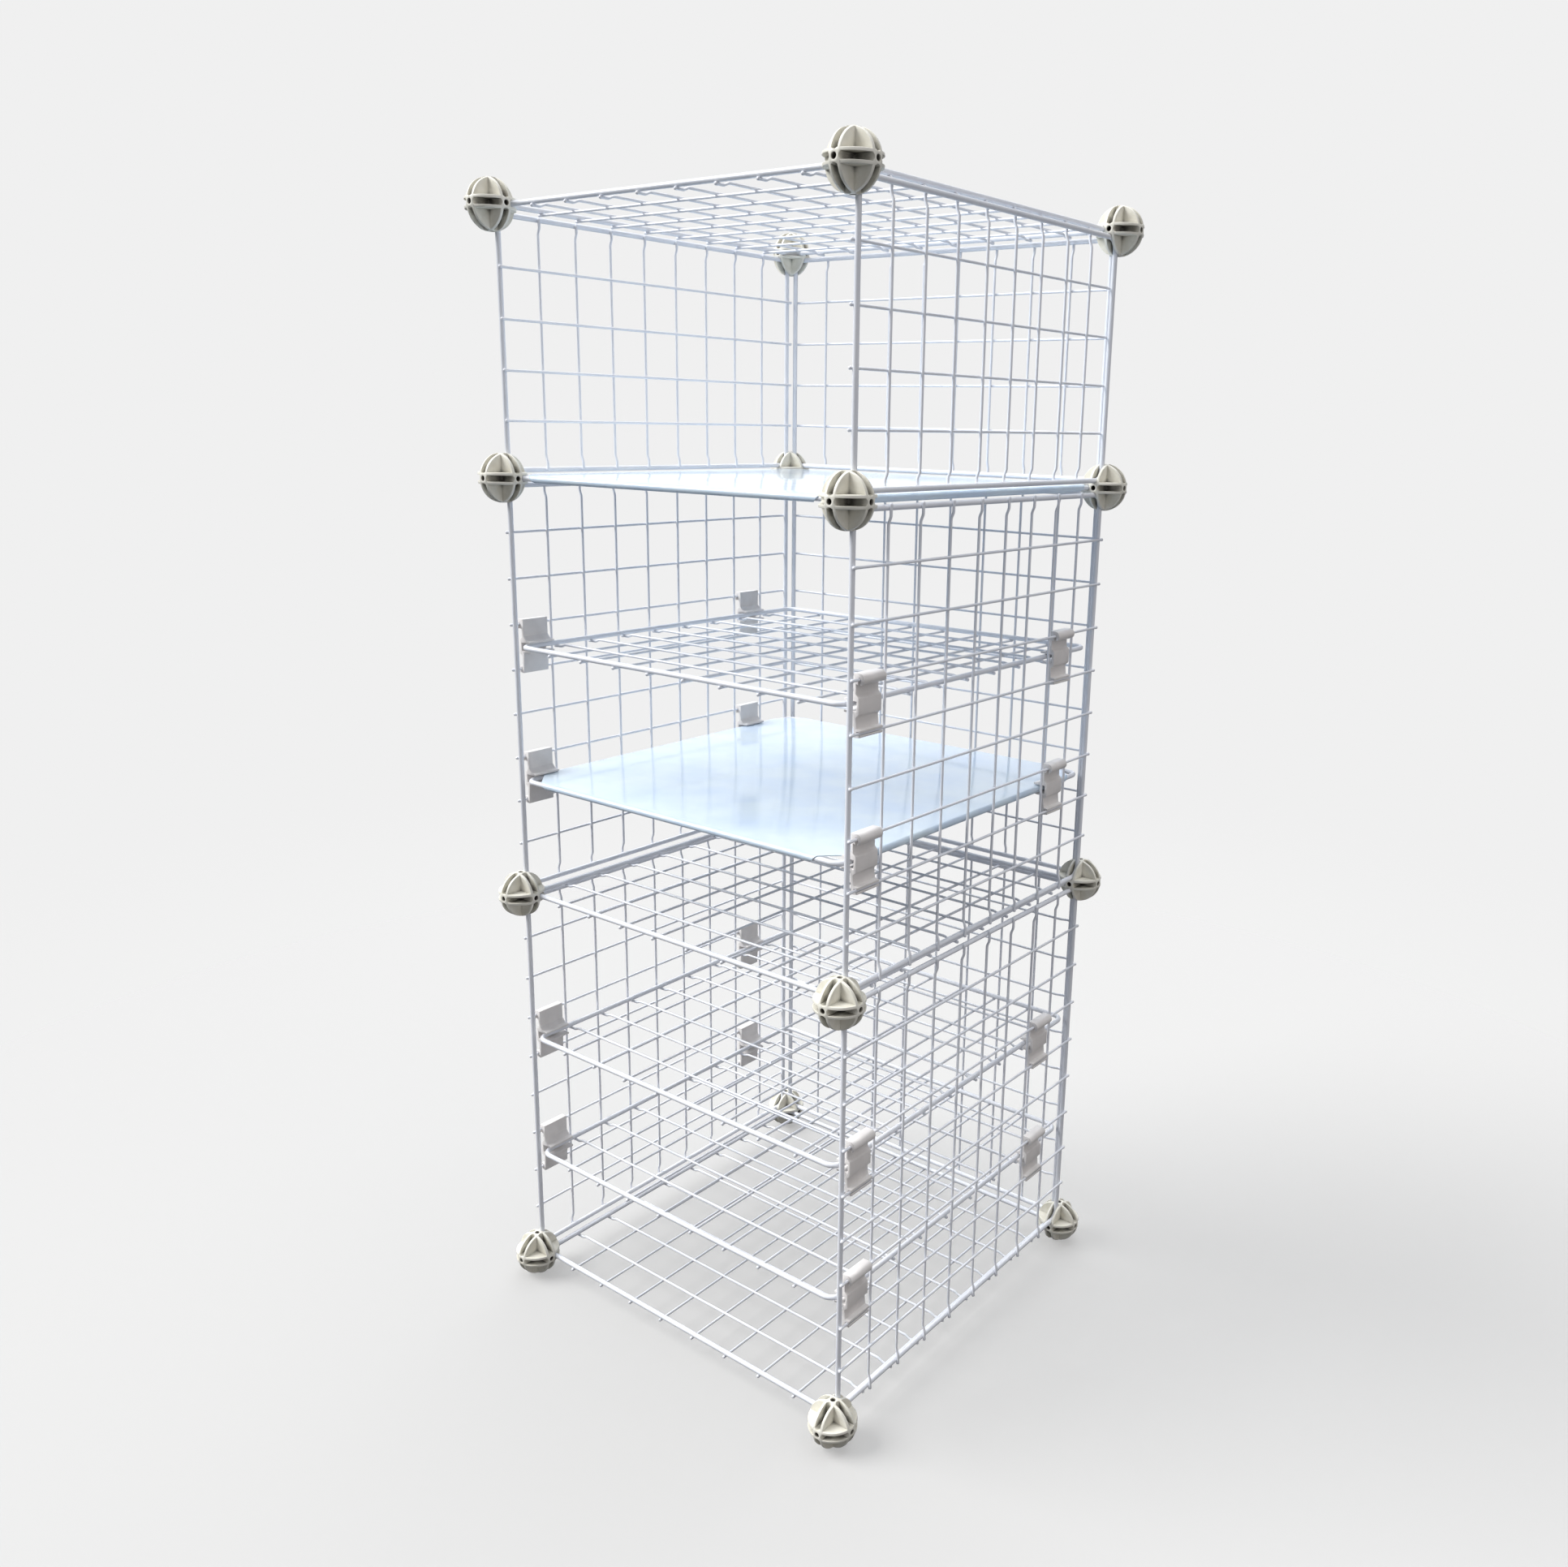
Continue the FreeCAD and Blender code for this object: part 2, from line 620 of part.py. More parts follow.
# shelves and their clips
SHELVES = {"high": "upper_clip_row", "low": "lower_clip_row"}
CLIP_CELLS = {"front": "front_clip_cell", "back": "back_clip_cell"}
for tier in ("bottom", "middle"):
    above = TIERS[tier][1]
    for shelf, wire_row in SHELVES.items():
        hang = f"{above}_level - wire_offset - {wire_row} * pitch"
        for side, (across, outward) in SIDES.items():
            for end, cell in CLIP_CELLS.items():
                along = f"-half_span + ({cell} + 1 / 2) * pitch"
                place(f"clip_{tier}_{shelf}_{end}_{side}", shelf_clip, (across, along, hang), outward)
        if (tier, shelf) == ("middle", "low"):
            height = f"{hang} - sheet_shelf_drop"
            place(f"{tier}_{shelf}_shelf_frame", panel_frame, (MIDDLE, MIDDLE, height))
            place(f"{tier}_{shelf}_shelf_sheet", panel_sheet, (MIDDLE, MIDDLE, height))
        else:
            place(f"{tier}_{shelf}_shelf", square_grid, (MIDDLE, MIDDLE, f"{hang} - wire_shelf_drop"), Y, -Z)

doc.recompute()

# ---------------------------------------------------------------- checks and export
for thing in doc.Objects:
    if "Invalid" in thing.State or "Error" in thing.State:
        raise RuntimeError(f"{thing.Name} failed: {thing.State}")
for node in nodes:
    if node.Shape.isNull() or not node.Shape.isValid() or not node.Shape.Solids:
        raise RuntimeError(f"{node.Label} has no valid solid")

os.makedirs("parts", exist_ok=True)
for node in nodes:
    node.Shape.exportStep(f"parts/{node.Label}.step")
    box = node.Shape.BoundBox
    print(f"{node.Label}: {len(node.Shape.Solids)} solid, {node.Shape.Volume:.0f} mm3,"
          f" x {box.XMin:.1f} {box.XMax:.1f}, y {box.YMin:.1f} {box.YMax:.1f},"
          f" z {box.ZMin:.1f} {box.ZMax:.1f}")
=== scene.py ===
"""Looks of an open-fronted wire storage tower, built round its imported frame.

Every visible piece is modelled here as it is made: bent and welded wires with a dipped
coat, moulded ball connectors, extruded shelf clips and plastic sheets rolled round their
frames. Places come from the frame, and lengths are in millimetres until a mesh is made.
"""

import logging
import math
from collections.abc import Callable, Iterator, Sequence
from contextlib import contextmanager
from dataclasses import dataclass, field
from enum import Enum
from functools import partial
from itertools import product

import bpy
from mathutils import Matrix, Vector


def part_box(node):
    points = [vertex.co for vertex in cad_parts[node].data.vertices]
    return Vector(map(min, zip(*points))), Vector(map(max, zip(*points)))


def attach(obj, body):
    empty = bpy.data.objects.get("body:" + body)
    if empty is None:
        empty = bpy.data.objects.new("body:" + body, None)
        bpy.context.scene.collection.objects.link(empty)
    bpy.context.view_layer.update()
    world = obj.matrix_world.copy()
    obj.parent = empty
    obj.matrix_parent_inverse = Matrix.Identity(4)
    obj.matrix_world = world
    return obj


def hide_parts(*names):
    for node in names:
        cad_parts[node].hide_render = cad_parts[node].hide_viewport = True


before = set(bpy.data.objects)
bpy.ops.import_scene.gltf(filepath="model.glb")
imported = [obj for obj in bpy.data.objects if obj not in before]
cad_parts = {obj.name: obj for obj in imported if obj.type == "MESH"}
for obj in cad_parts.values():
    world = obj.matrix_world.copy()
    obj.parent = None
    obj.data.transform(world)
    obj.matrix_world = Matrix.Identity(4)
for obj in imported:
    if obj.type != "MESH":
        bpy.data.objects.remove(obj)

MM = 0.001
QUARTER_TURN = math.pi / 2
HALF_TURN = math.pi
THIRD_TURN = 2 * math.pi / 3
X_AXIS = Vector((1, 0, 0))
Y_AXIS = Vector((0, 1, 0))
MERGE_GAP = 0.02  # mm: vertices closer than this are one

log = logging.getLogger("storage_tower")


# ------------------------------------------------------------------ colour and nodes
def linear(code: str) -> tuple[float, float, float, float]:
    """Turn an sRGB hex code into a linear colour.

    Args:
        code: Six hex digits.

    Returns:
        Linear red, green and blue, and a full alpha.
    """
    def channel(start: int) -> float:
        """One channel of the code, made linear."""
        value = int(code[start:start + 2], 16) / 255
        return value / 12.92 if value <= 0.04045 else ((value + 0.055) / 1.055) ** 2.4

    return channel(0), channel(2), channel(4), 1.0


def add_node(tree: bpy.types.NodeTree, kind: str, settings: dict | None = None,
             links: dict | None = None) -> bpy.types.Node:
    """Add a node with its settings and links.

    Args:
        tree: Node tree that gets the node.
        kind: Node type, such as "ShaderNodeTexNoise".
        settings: Values by property or input name.
        links: Output sockets by the name of the input that they feed.

    Returns:
        The new node.
    """
    node = tree.nodes.new(kind)
    for name, value in (settings or {}).items():
        if name in node.inputs:
            node.inputs[name].default_value = value
        else:
            setattr(node, name, value)
    for name, socket in (links or {}).items():
        tree.links.new(socket, node.inputs[name])
    return node


@dataclass(frozen=True)
class Finish:
    """A surface: two close shades that drift into one another, a gloss and a fine relief.

    Attributes:
        name: What the material is and how its surface was made.
        slot: The record's material slot; not used.
        shade: Main colour, sRGB hex.
        drift: Colour that the main one drifts towards, sRGB hex.
        drift_size: Size of the drift's patches, mm.
        gloss: Roughness where the surface is smoothest.
        dull: Roughness where it is dullest.
        grain: Size of the surface relief, mm.
        relief: Depth of the relief, mm.
        ior: Index of refraction.
        transmission: Share of light that passes through.
        coat: Weight of a clear gloss over the colour.
        corner_shade: Colour of the painted shade in corners and narrow slots, sRGB hex, if the
            finish has any.
        corner_shade_reach: How far from a corner the painted shade reaches, mm.
        corner_shade_rays: Rays that each point sends out to look for a corner.
        corner_shade_range: Openness at which the painted shade is full, and at which there is
            none.
        drift_range: Noise levels between which one shade turns into the other.
    """
    name: str
    slot: str
    shade: str
    drift: str
    drift_size: float
    gloss: float
    dull: float
    grain: float
    relief: float
    ior: float = 1.5
    transmission: float = 0.0
    coat: float = 0.0
    corner_shade: str = ""
    corner_shade_reach: float = 7.0
    corner_shade_rays: int = 8
    corner_shade_range: tuple[float, float] = (0.3, 0.6)
    drift_range: tuple[float, float] = (0.35, 0.65)

    def material(self) -> bpy.types.Material:
        """Build the material, or return it if it exists."""
        made = bpy.data.materials.get(self.name)
        if made:
            return made
        made = bpy.data.materials.new(self.name)
        made.use_nodes = True
        tree = made.node_tree
        tree.nodes.clear()
        place = add_node(tree, "ShaderNodeTexCoord")
        patches = add_node(tree, "ShaderNodeTexNoise",
                           {"Scale": 1 / (self.drift_size * MM), "Detail": 3.0},
                           {"Vector": place.outputs["Object"]})
        tint = add_node(tree, "ShaderNodeValToRGB", {}, {"Fac": patches.outputs["Fac"]})
        for stop, position, code in zip(tint.color_ramp.elements, self.drift_range,
                                        (self.drift, self.shade)):
            stop.position = position
            stop.color = linear(code)
        colour = tint.outputs["Color"]
        # painted shade: the colour darkens towards corners and narrow slots
        if self.corner_shade:
            colour = self.with_painted_shade(tree, colour)
        gloss = add_node(tree, "ShaderNodeMapRange", {"To Min": self.gloss, "To Max": self.dull},
                         {"Value": patches.outputs["Fac"]})
        grain = add_node(tree, "ShaderNodeTexNoise",
                         {"Scale": 1 / (self.grain * MM), "Detail": 2.0},
                         {"Vector": place.outputs["Object"]})
        relief = add_node(tree, "ShaderNodeBump",
                          {"Strength": 1.0, "Distance": self.relief * MM},
                          {"Height": grain.outputs["Fac"]})
        shader = add_node(tree, "ShaderNodeBsdfPrincipled",
                          {"IOR": self.ior, "Transmission Weight": self.transmission,
                           "Coat Weight": self.coat},
                          {"Base Color": colour,
                           "Roughness": gloss.outputs["Result"],
                           "Normal": relief.outputs["Normal"]})
        add_node(tree, "ShaderNodeOutputMaterial", {}, {"Surface": shader.outputs["BSDF"]})
        return made

    def with_painted_shade(self, tree: bpy.types.NodeTree,
               colour: bpy.types.NodeSocket) -> bpy.types.NodeSocket:
        """Paint shade into a colour towards corners and narrow slots.

        Args:
            tree: The material's node tree.
            colour: Colour where the surface is open.

        Returns:
            The colour with its painted shade.
        """
        # ambient occlusion sets how much shade is painted into the colour
        corner = add_node(tree, "ShaderNodeAmbientOcclusion",
                          {"samples": self.corner_shade_rays, "only_local": True,
                           "Distance": self.corner_shade_reach * MM})
        full, none = self.corner_shade_range
        amount = add_node(tree, "ShaderNodeMapRange", {"From Min": full, "From Max": none},
                          {"Value": corner.outputs["AO"]})
        mix = add_node(tree, "ShaderNodeMix", {"data_type": "RGBA"},
                       {"Factor": amount.outputs["Result"]})
        mix.inputs["A"].default_value = linear(self.corner_shade)
        tree.links.new(colour, mix.inputs["B"])
        return mix.outputs["Result"]


# a thick white polyethylene dip over steel: even, softly glossy, faintly lumpy, a cool white
DIPPED_WIRE = Finish("dip_coated_steel_wire", "coated_wire", "EFF1F6", "E8EBF2", 45.0,
                     0.26, 0.38, 1.4, 0.03, coat=0.25)
# injection-moulded ABS: a warm ivory with a satin skin and a very fine spark-eroded texture
MOULDED_ABS = Finish("moulded_ivory_abs", "ball_abs", "F0EDE2", "E6E3D6", 16.0,
                     0.34, 0.46, 0.5, 0.02)
# the same ABS where the mould's cores shaped it: matt, with a coarser spark-eroded texture; its
# tone, a little darker than the skin's, and its darkening in corners and slots are painted shade
MOULDED_CORE = Finish("spark_eroded_ivory_abs_painted_shade", "ball_abs", "EAE7DB", "DEDACB", 9.0,
                      0.6, 0.75, 0.45, 0.06, corner_shade="35312B")
# extruded ABS strip cut to length: greyer and a little smoother than the moulded balls
EXTRUDED_CLIP = Finish("extruded_grey_white_abs", "clip_plastic", "ECE8E5", "E3DFDC", 14.0,
                       0.3, 0.42, 0.7, 0.015)
# milky polypropylene sheet: glossy and slightly wavy, lets some light through
POLYPROPYLENE = Finish("milky_polypropylene_sheet", "pp_sheet", "E8F6FF", "D9EBFF", 60.0,
                       0.07, 0.14, 38.0, 0.12, ior=1.49, transmission=0.18)


# ------------------------------------------------------------------ modelling helpers
def deselect() -> None:
    """Deselect every object, so that an operator acts only on what is made next."""
    for item in bpy.context.selected_objects:
        item.select_set(False)


def pick(piece: bpy.types.Object) -> None:
    """Make one object the selected and active one."""
    deselect()
    piece.select_set(True)
    bpy.context.view_layer.objects.active = piece


@contextmanager
def editing() -> Iterator[None]:
    """Edit the active object's mesh, with all of it selected at the start."""
    bpy.ops.object.mode_set(mode="EDIT")
    bpy.ops.mesh.select_all(action="SELECT")
    yield
    bpy.ops.object.mode_set(mode="OBJECT")


def face_outwards() -> None:
    """In edit mode, select the whole mesh and point its faces outwards."""
    bpy.ops.mesh.select_all(action="SELECT")
    bpy.ops.mesh.normals_make_consistent(inside=False)


def seam_up() -> None:
    """In edit mode, merge the whole mesh's doubles and point its faces outwards."""
    bpy.ops.mesh.select_all(action="SELECT")
    bpy.ops.mesh.remove_doubles(threshold=MERGE_GAP * MM)
    face_outwards()


def apply_modifier(piece: bpy.types.Object, kind: str, settings: dict) -> None:
    """Add a modifier with its settings and apply it.

    Args:
        piece: Object that gets the modifier.
        kind: Modifier type, such as "ARRAY".
        settings: Values by property name.
    """
    pick(piece)
    modifier = piece.modifiers.new(kind.lower(), kind)
    for name, value in settings.items():
        setattr(modifier, name, value)
    bpy.ops.object.modifier_apply(modifier=modifier.name)


def join(name: str, pieces: Sequence[bpy.types.Object]) -> bpy.types.Object:
    """Join several meshes into one object.

    Args:
        name: Name of the joined object.
        pieces: Meshes to join; the first keeps its place.

    Returns:
        The joined object.
    """
    pick(pieces[0])
    for piece in pieces[1:]:
        piece.select_set(True)
    bpy.ops.object.join()
    joined = bpy.context.object
    joined.name = name
    return joined


def settle(piece: bpy.types.Object) -> None:
    """Put an object's place and turn into its mesh."""
    pick(piece)
    bpy.ops.object.transform_apply(location=True, rotation=True, scale=True)


def extrude(step: Vector) -> None:
    """Extrude what is selected in edit mode by a step in millimetres."""
    bpy.ops.mesh.extrude_region_move(TRANSFORM_OT_translate={"value": tuple(step * MM)})


def extrude_point(step: Vector) -> None:
    """Extrude the vertex selected in edit mode to a line, by a step in millimetres."""
    bpy.ops.mesh.extrude_vertices_move(TRANSFORM_OT_translate={"value": step * MM})


def add_point(name: str) -> bpy.types.Object:
    """Add an object whose mesh is one vertex at the origin, to be extruded to a line."""
    deselect()
    bpy.ops.mesh.primitive_circle_add(vertices=3, radius=MM, fill_type="NOTHING")
    point = bpy.context.object
    point.name = name
    with editing():
        bpy.ops.mesh.merge(type="CENTER")
    return point


def round_shading(piece: bpy.types.Object, limit: float = 38.0) -> None:
    """Shade a mesh smooth, apart from edges sharper than a limit in degrees."""
    pick(piece)
    bpy.ops.object.shade_smooth_by_angle(angle=math.radians(limit))


def draw_wire(name: str, sides: int,
              stations: Sequence[tuple[Vector, float]]) -> bpy.types.Object:
    """Extrude a round section along stations that run along Y.

    Args:
        name: Name of the wire.
        sides: Flats of the section.
        stations: Centre and radius of each section, mm, in order of rising Y.

    Returns:
        The closed wire.
    """
    start, radius = stations[0]
    deselect()
    bpy.ops.mesh.primitive_circle_add(vertices=sides, radius=radius * MM, fill_type="NGON",
                                      location=start * MM, rotation=(QUARTER_TURN, 0, 0))
    wire = bpy.context.object
    wire.name = name
    with editing():
        for centre, next_radius in stations[1:]:
            extrude(centre - start)
            if next_radius != radius:
                share = next_radius / radius
                bpy.ops.transform.resize(value=(share, share, share),
                                         center_override=centre * MM)
            start, radius = centre, next_radius
        face_outwards()
    settle(wire)
    return wire


# ------------------------------------------------------------------ wire grids
@dataclass
class WireStock:
    """Wire sizes that all panels share, mm.

    Attributes:
        frame_radius: Radius of the frame wire, over its coat.
        mesh_radius: Radius of a mesh wire, over its coat.
        bead: The coat's bead at a mesh wire's end: distances in from the tip, and radii there.
        corner_bend: Radius of the frame wire's corners, to its centreline.
        weld_rise: Height of a mesh wire's centre over the frame's, where it is welded on.
        crank_rise: Height of a cranked wire's centre between its cranks.
        crank_start: Distance from the frame's centreline in to the crank.
        crank_length: Length of the crank.
        frame_sides: Flats of the frame wire.
        mesh_sides: Flats of a mesh wire.
        bend_steps: Steps round a corner of the frame wire.
        crank_steps: Steps along a crank.
    """
    frame_radius: float = 2.15
    mesh_radius: float = 1.1
    bead: tuple[tuple[float, float], ...] = (
        (0.0, 0.45), (0.25, 0.95), (0.8, 1.34), (1.9, 1.34), (3.2, 1.16), (4.6, 1.1))
    corner_bend: float = 10.0
    weld_rise: float = 3.05
    crank_rise: float = 1.05
    crank_start: float = 5.0
    crank_length: float = 7.0
    frame_sides: int = 20
    mesh_sides: int = 12
    bend_steps: int = 8
    crank_steps: int = 8

    def bent_frame(self, name: str, half_x: float, half_y: float) -> bpy.types.Object:
        """Bend a frame wire to a rounded rectangle about the origin.

        Args:
            name: Name of the frame.
            half_x: Half of the centreline's width, mm.
            half_y: Half of its height, mm.

        Returns:
            The closed frame wire.
        """
        bend = self.corner_bend
        deselect()
        bpy.ops.mesh.primitive_circle_add(vertices=self.frame_sides,
                                          radius=self.frame_radius * MM,
                                          location=Vector((half_x, bend - half_y, 0)) * MM,
                                          rotation=(QUARTER_TURN, 0, 0))
        wire = bpy.context.object
        wire.name = name
        hub_x, hub_y = half_x - bend, half_y - bend
        runs = [2 * hub_y * Y_AXIS, -2 * hub_x * X_AXIS, -2 * hub_y * Y_AXIS, 2 * hub_x * X_AXIS]
        hubs = [Vector((hub_x, hub_y, 0)), Vector((-hub_x, hub_y, 0)),
                Vector((-hub_x, -hub_y, 0)), Vector((hub_x, -hub_y, 0))]
        with editing():
            for run, centre in zip(runs, hubs):
                extrude(run)
                bpy.ops.mesh.spin(steps=self.bend_steps, angle=-QUARTER_TURN, center=centre * MM,
                                  axis=(0, 0, 1))
            seam_up()
        settle(wire)
        return wire

    def straight_wire(self, name: str, reach: float) -> bpy.types.Object:
        """A straight mesh wire along Y, from -reach to reach, at the height of its welds."""
        stations = [(Vector((0, inset - reach, self.weld_rise)), radius)
                    for inset, radius in self.bead]
        stations += [(Vector((0, reach - inset, self.weld_rise)), radius)
                     for inset, radius in reversed(self.bead)]
        return draw_wire(name, self.mesh_sides, stations)

    def cranked_wire(self, name: str, half: float, tip: float) -> bpy.types.Object:
        """A mesh wire along Y that dips under the straight ones and cranks up at its ends.

        Args:
            name: Name of the wire.
            half: Half of the frame's centreline, mm.
            tip: How far the wire reaches past that centreline, mm.

        Returns:
            The closed wire.
        """
        start = half - self.crank_start
        reach = half + tip
        side = [(reach - inset, self.weld_rise, radius) for inset, radius in self.bead]
        for step in range(self.crank_steps + 1):
            share = step / self.crank_steps
            ease = (1 - math.cos(share * HALF_TURN)) / 2
            fall = (self.weld_rise - self.crank_rise) * ease
            side.append((start - self.crank_length * share, self.weld_rise - fall,
                         self.mesh_radius))
        stations = [(Vector((0, -along, up)), radius) for along, up, radius in side]
        stations += [(Vector((0, along, up)), radius) for along, up, radius in reversed(side)]
        return draw_wire(name, self.mesh_sides, stations)


@dataclass
class WireGrid:
    """A welded grid in its own XY plane, with its mesh on the +Z side, mm.

    Attributes:
        name: Name of the grid.
        half_x: Half of the frame centreline's width.
        half_y: Half of its height.
        cells_x: Cells across the width.
        cells_y: Cells up the height.
        upright_tip: How far the cranked wires reach past the frame's centreline.
        straight_tip: How far the straight wires do.
        stock: Wire that it is made from.
    """
    name: str
    half_x: float
    half_y: float
    cells_x: int
    cells_y: int
    upright_tip: float
    straight_tip: float = 3.15
    stock: WireStock = field(default_factory=WireStock)

    def repeat(self, wire: bpy.types.Object, count: int, step: Vector) -> None:
        """Lay copies of a wire side by side, centred on the panel."""
        wire.location = step * MM * (1 - count) / 2
        settle(wire)
        apply_modifier(wire, "ARRAY", {"count": count, "use_relative_offset": False,
                                       "use_constant_offset": True,
                                       "constant_offset_displace": step * MM})

    def build(self) -> bpy.types.Object:
        """Bend the frame, weld on both sets of mesh wires and dress the grid."""
        ring = self.stock.bent_frame(self.name + "_ring", self.half_x, self.half_y)
        straight = self.stock.straight_wire(self.name + "_straight",
                                            self.half_x + self.straight_tip)
        straight.rotation_euler = (0, 0, -QUARTER_TURN)
        settle(straight)
        self.repeat(straight, self.cells_y - 1, Y_AXIS * (2 * self.half_y / self.cells_y))
        cranked = self.stock.cranked_wire(self.name + "_cranked", self.half_y, self.upright_tip)
        self.repeat(cranked, self.cells_x - 1, X_AXIS * (2 * self.half_x / self.cells_x))
        grid = join(self.name, [ring, straight, cranked])
        round_shading(grid)
        grid.data.materials.append(DIPPED_WIRE.material())
        return grid


# ------------------------------------------------------------------ plastic sheet
@dataclass
class PlasticSheet:
    """A sheet whose four sides are rolled round a frame wire and whose corners are cut, mm.

    Attributes:
        name: Name of the sheet.
        half: Half of the frame centreline's side.
        corner: Length that each corner cut takes off a side of the framed panel.
        gauge: Thickness of the sheet.
        roll_radius: Radius of the hem, to the middle of the sheet.
        roll_steps: Steps round the hem.
        roll_turn: How far the hem goes round the wire, degrees.
        wire_radius: Radius of the frame wire.
    """
    name: str
    half: float
    corner: float = 22.0
    gauge: float = 0.8
    roll_radius: float = 2.6
    roll_steps: int = 16
    roll_turn: float = 318.0
    wire_radius: float = 2.15

    @property
    def hem_half(self) -> float:
        """Half of the length of a side between its cut corners."""
        return self.half + self.wire_radius - self.corner

    def roll_side(self, side: int) -> bpy.types.Object:
        """Roll the hem of one side, its ends running back as the cut corner winds in."""
        start = self.hem_half
        hem = add_point(f"{self.name}_hem_{side}")
        step = math.radians(self.roll_turn) / self.roll_steps
        length = 2 * start
        with editing():
            bpy.ops.transform.translate(value=Vector((self.half, -start, self.roll_radius)) * MM)
            extrude_point(Y_AXIS * length)
            bpy.ops.mesh.select_all(action="SELECT")
            for turn in range(self.roll_steps):
                before = turn * step
                after = before + step
                across = self.roll_radius * (math.sin(after) - math.sin(before))
                up = self.roll_radius * (math.cos(after) - math.cos(before))
                extrude(Vector((across, 0, up)))
                shorter = length - 2 * self.roll_radius * step
                bpy.ops.transform.resize(value=(1, shorter / length, 1))
                length = shorter
        hem.rotation_euler = (0, 0, QUARTER_TURN * side)
        settle(hem)
        return hem

    def web(self) -> bpy.types.Object:
        """The flat of the sheet, with its four corners cut at 45 degrees."""
        deselect()
        bpy.ops.mesh.primitive_plane_add(size=2 * self.half * MM,
                                         location=Vector((0, 0, self.roll_radius)) * MM)
        web = bpy.context.object
        with editing():
            bpy.ops.mesh.bevel(offset=(self.half - self.hem_half) * MM, affect="VERTICES")
        settle(web)
        return web

    def build(self) -> bpy.types.Object:
        """Cut the web, roll the four hems, and give the sheet its thickness."""
        sheet = join(self.name, [self.web()] + [self.roll_side(side) for side in range(4)])
        with editing():
            seam_up()
        apply_modifier(sheet, "SOLIDIFY", {"thickness": self.gauge * MM, "offset": 0.0})
        round_shading(sheet)
        sheet.data.materials.append(POLYPROPYLENE.material())
        return sheet


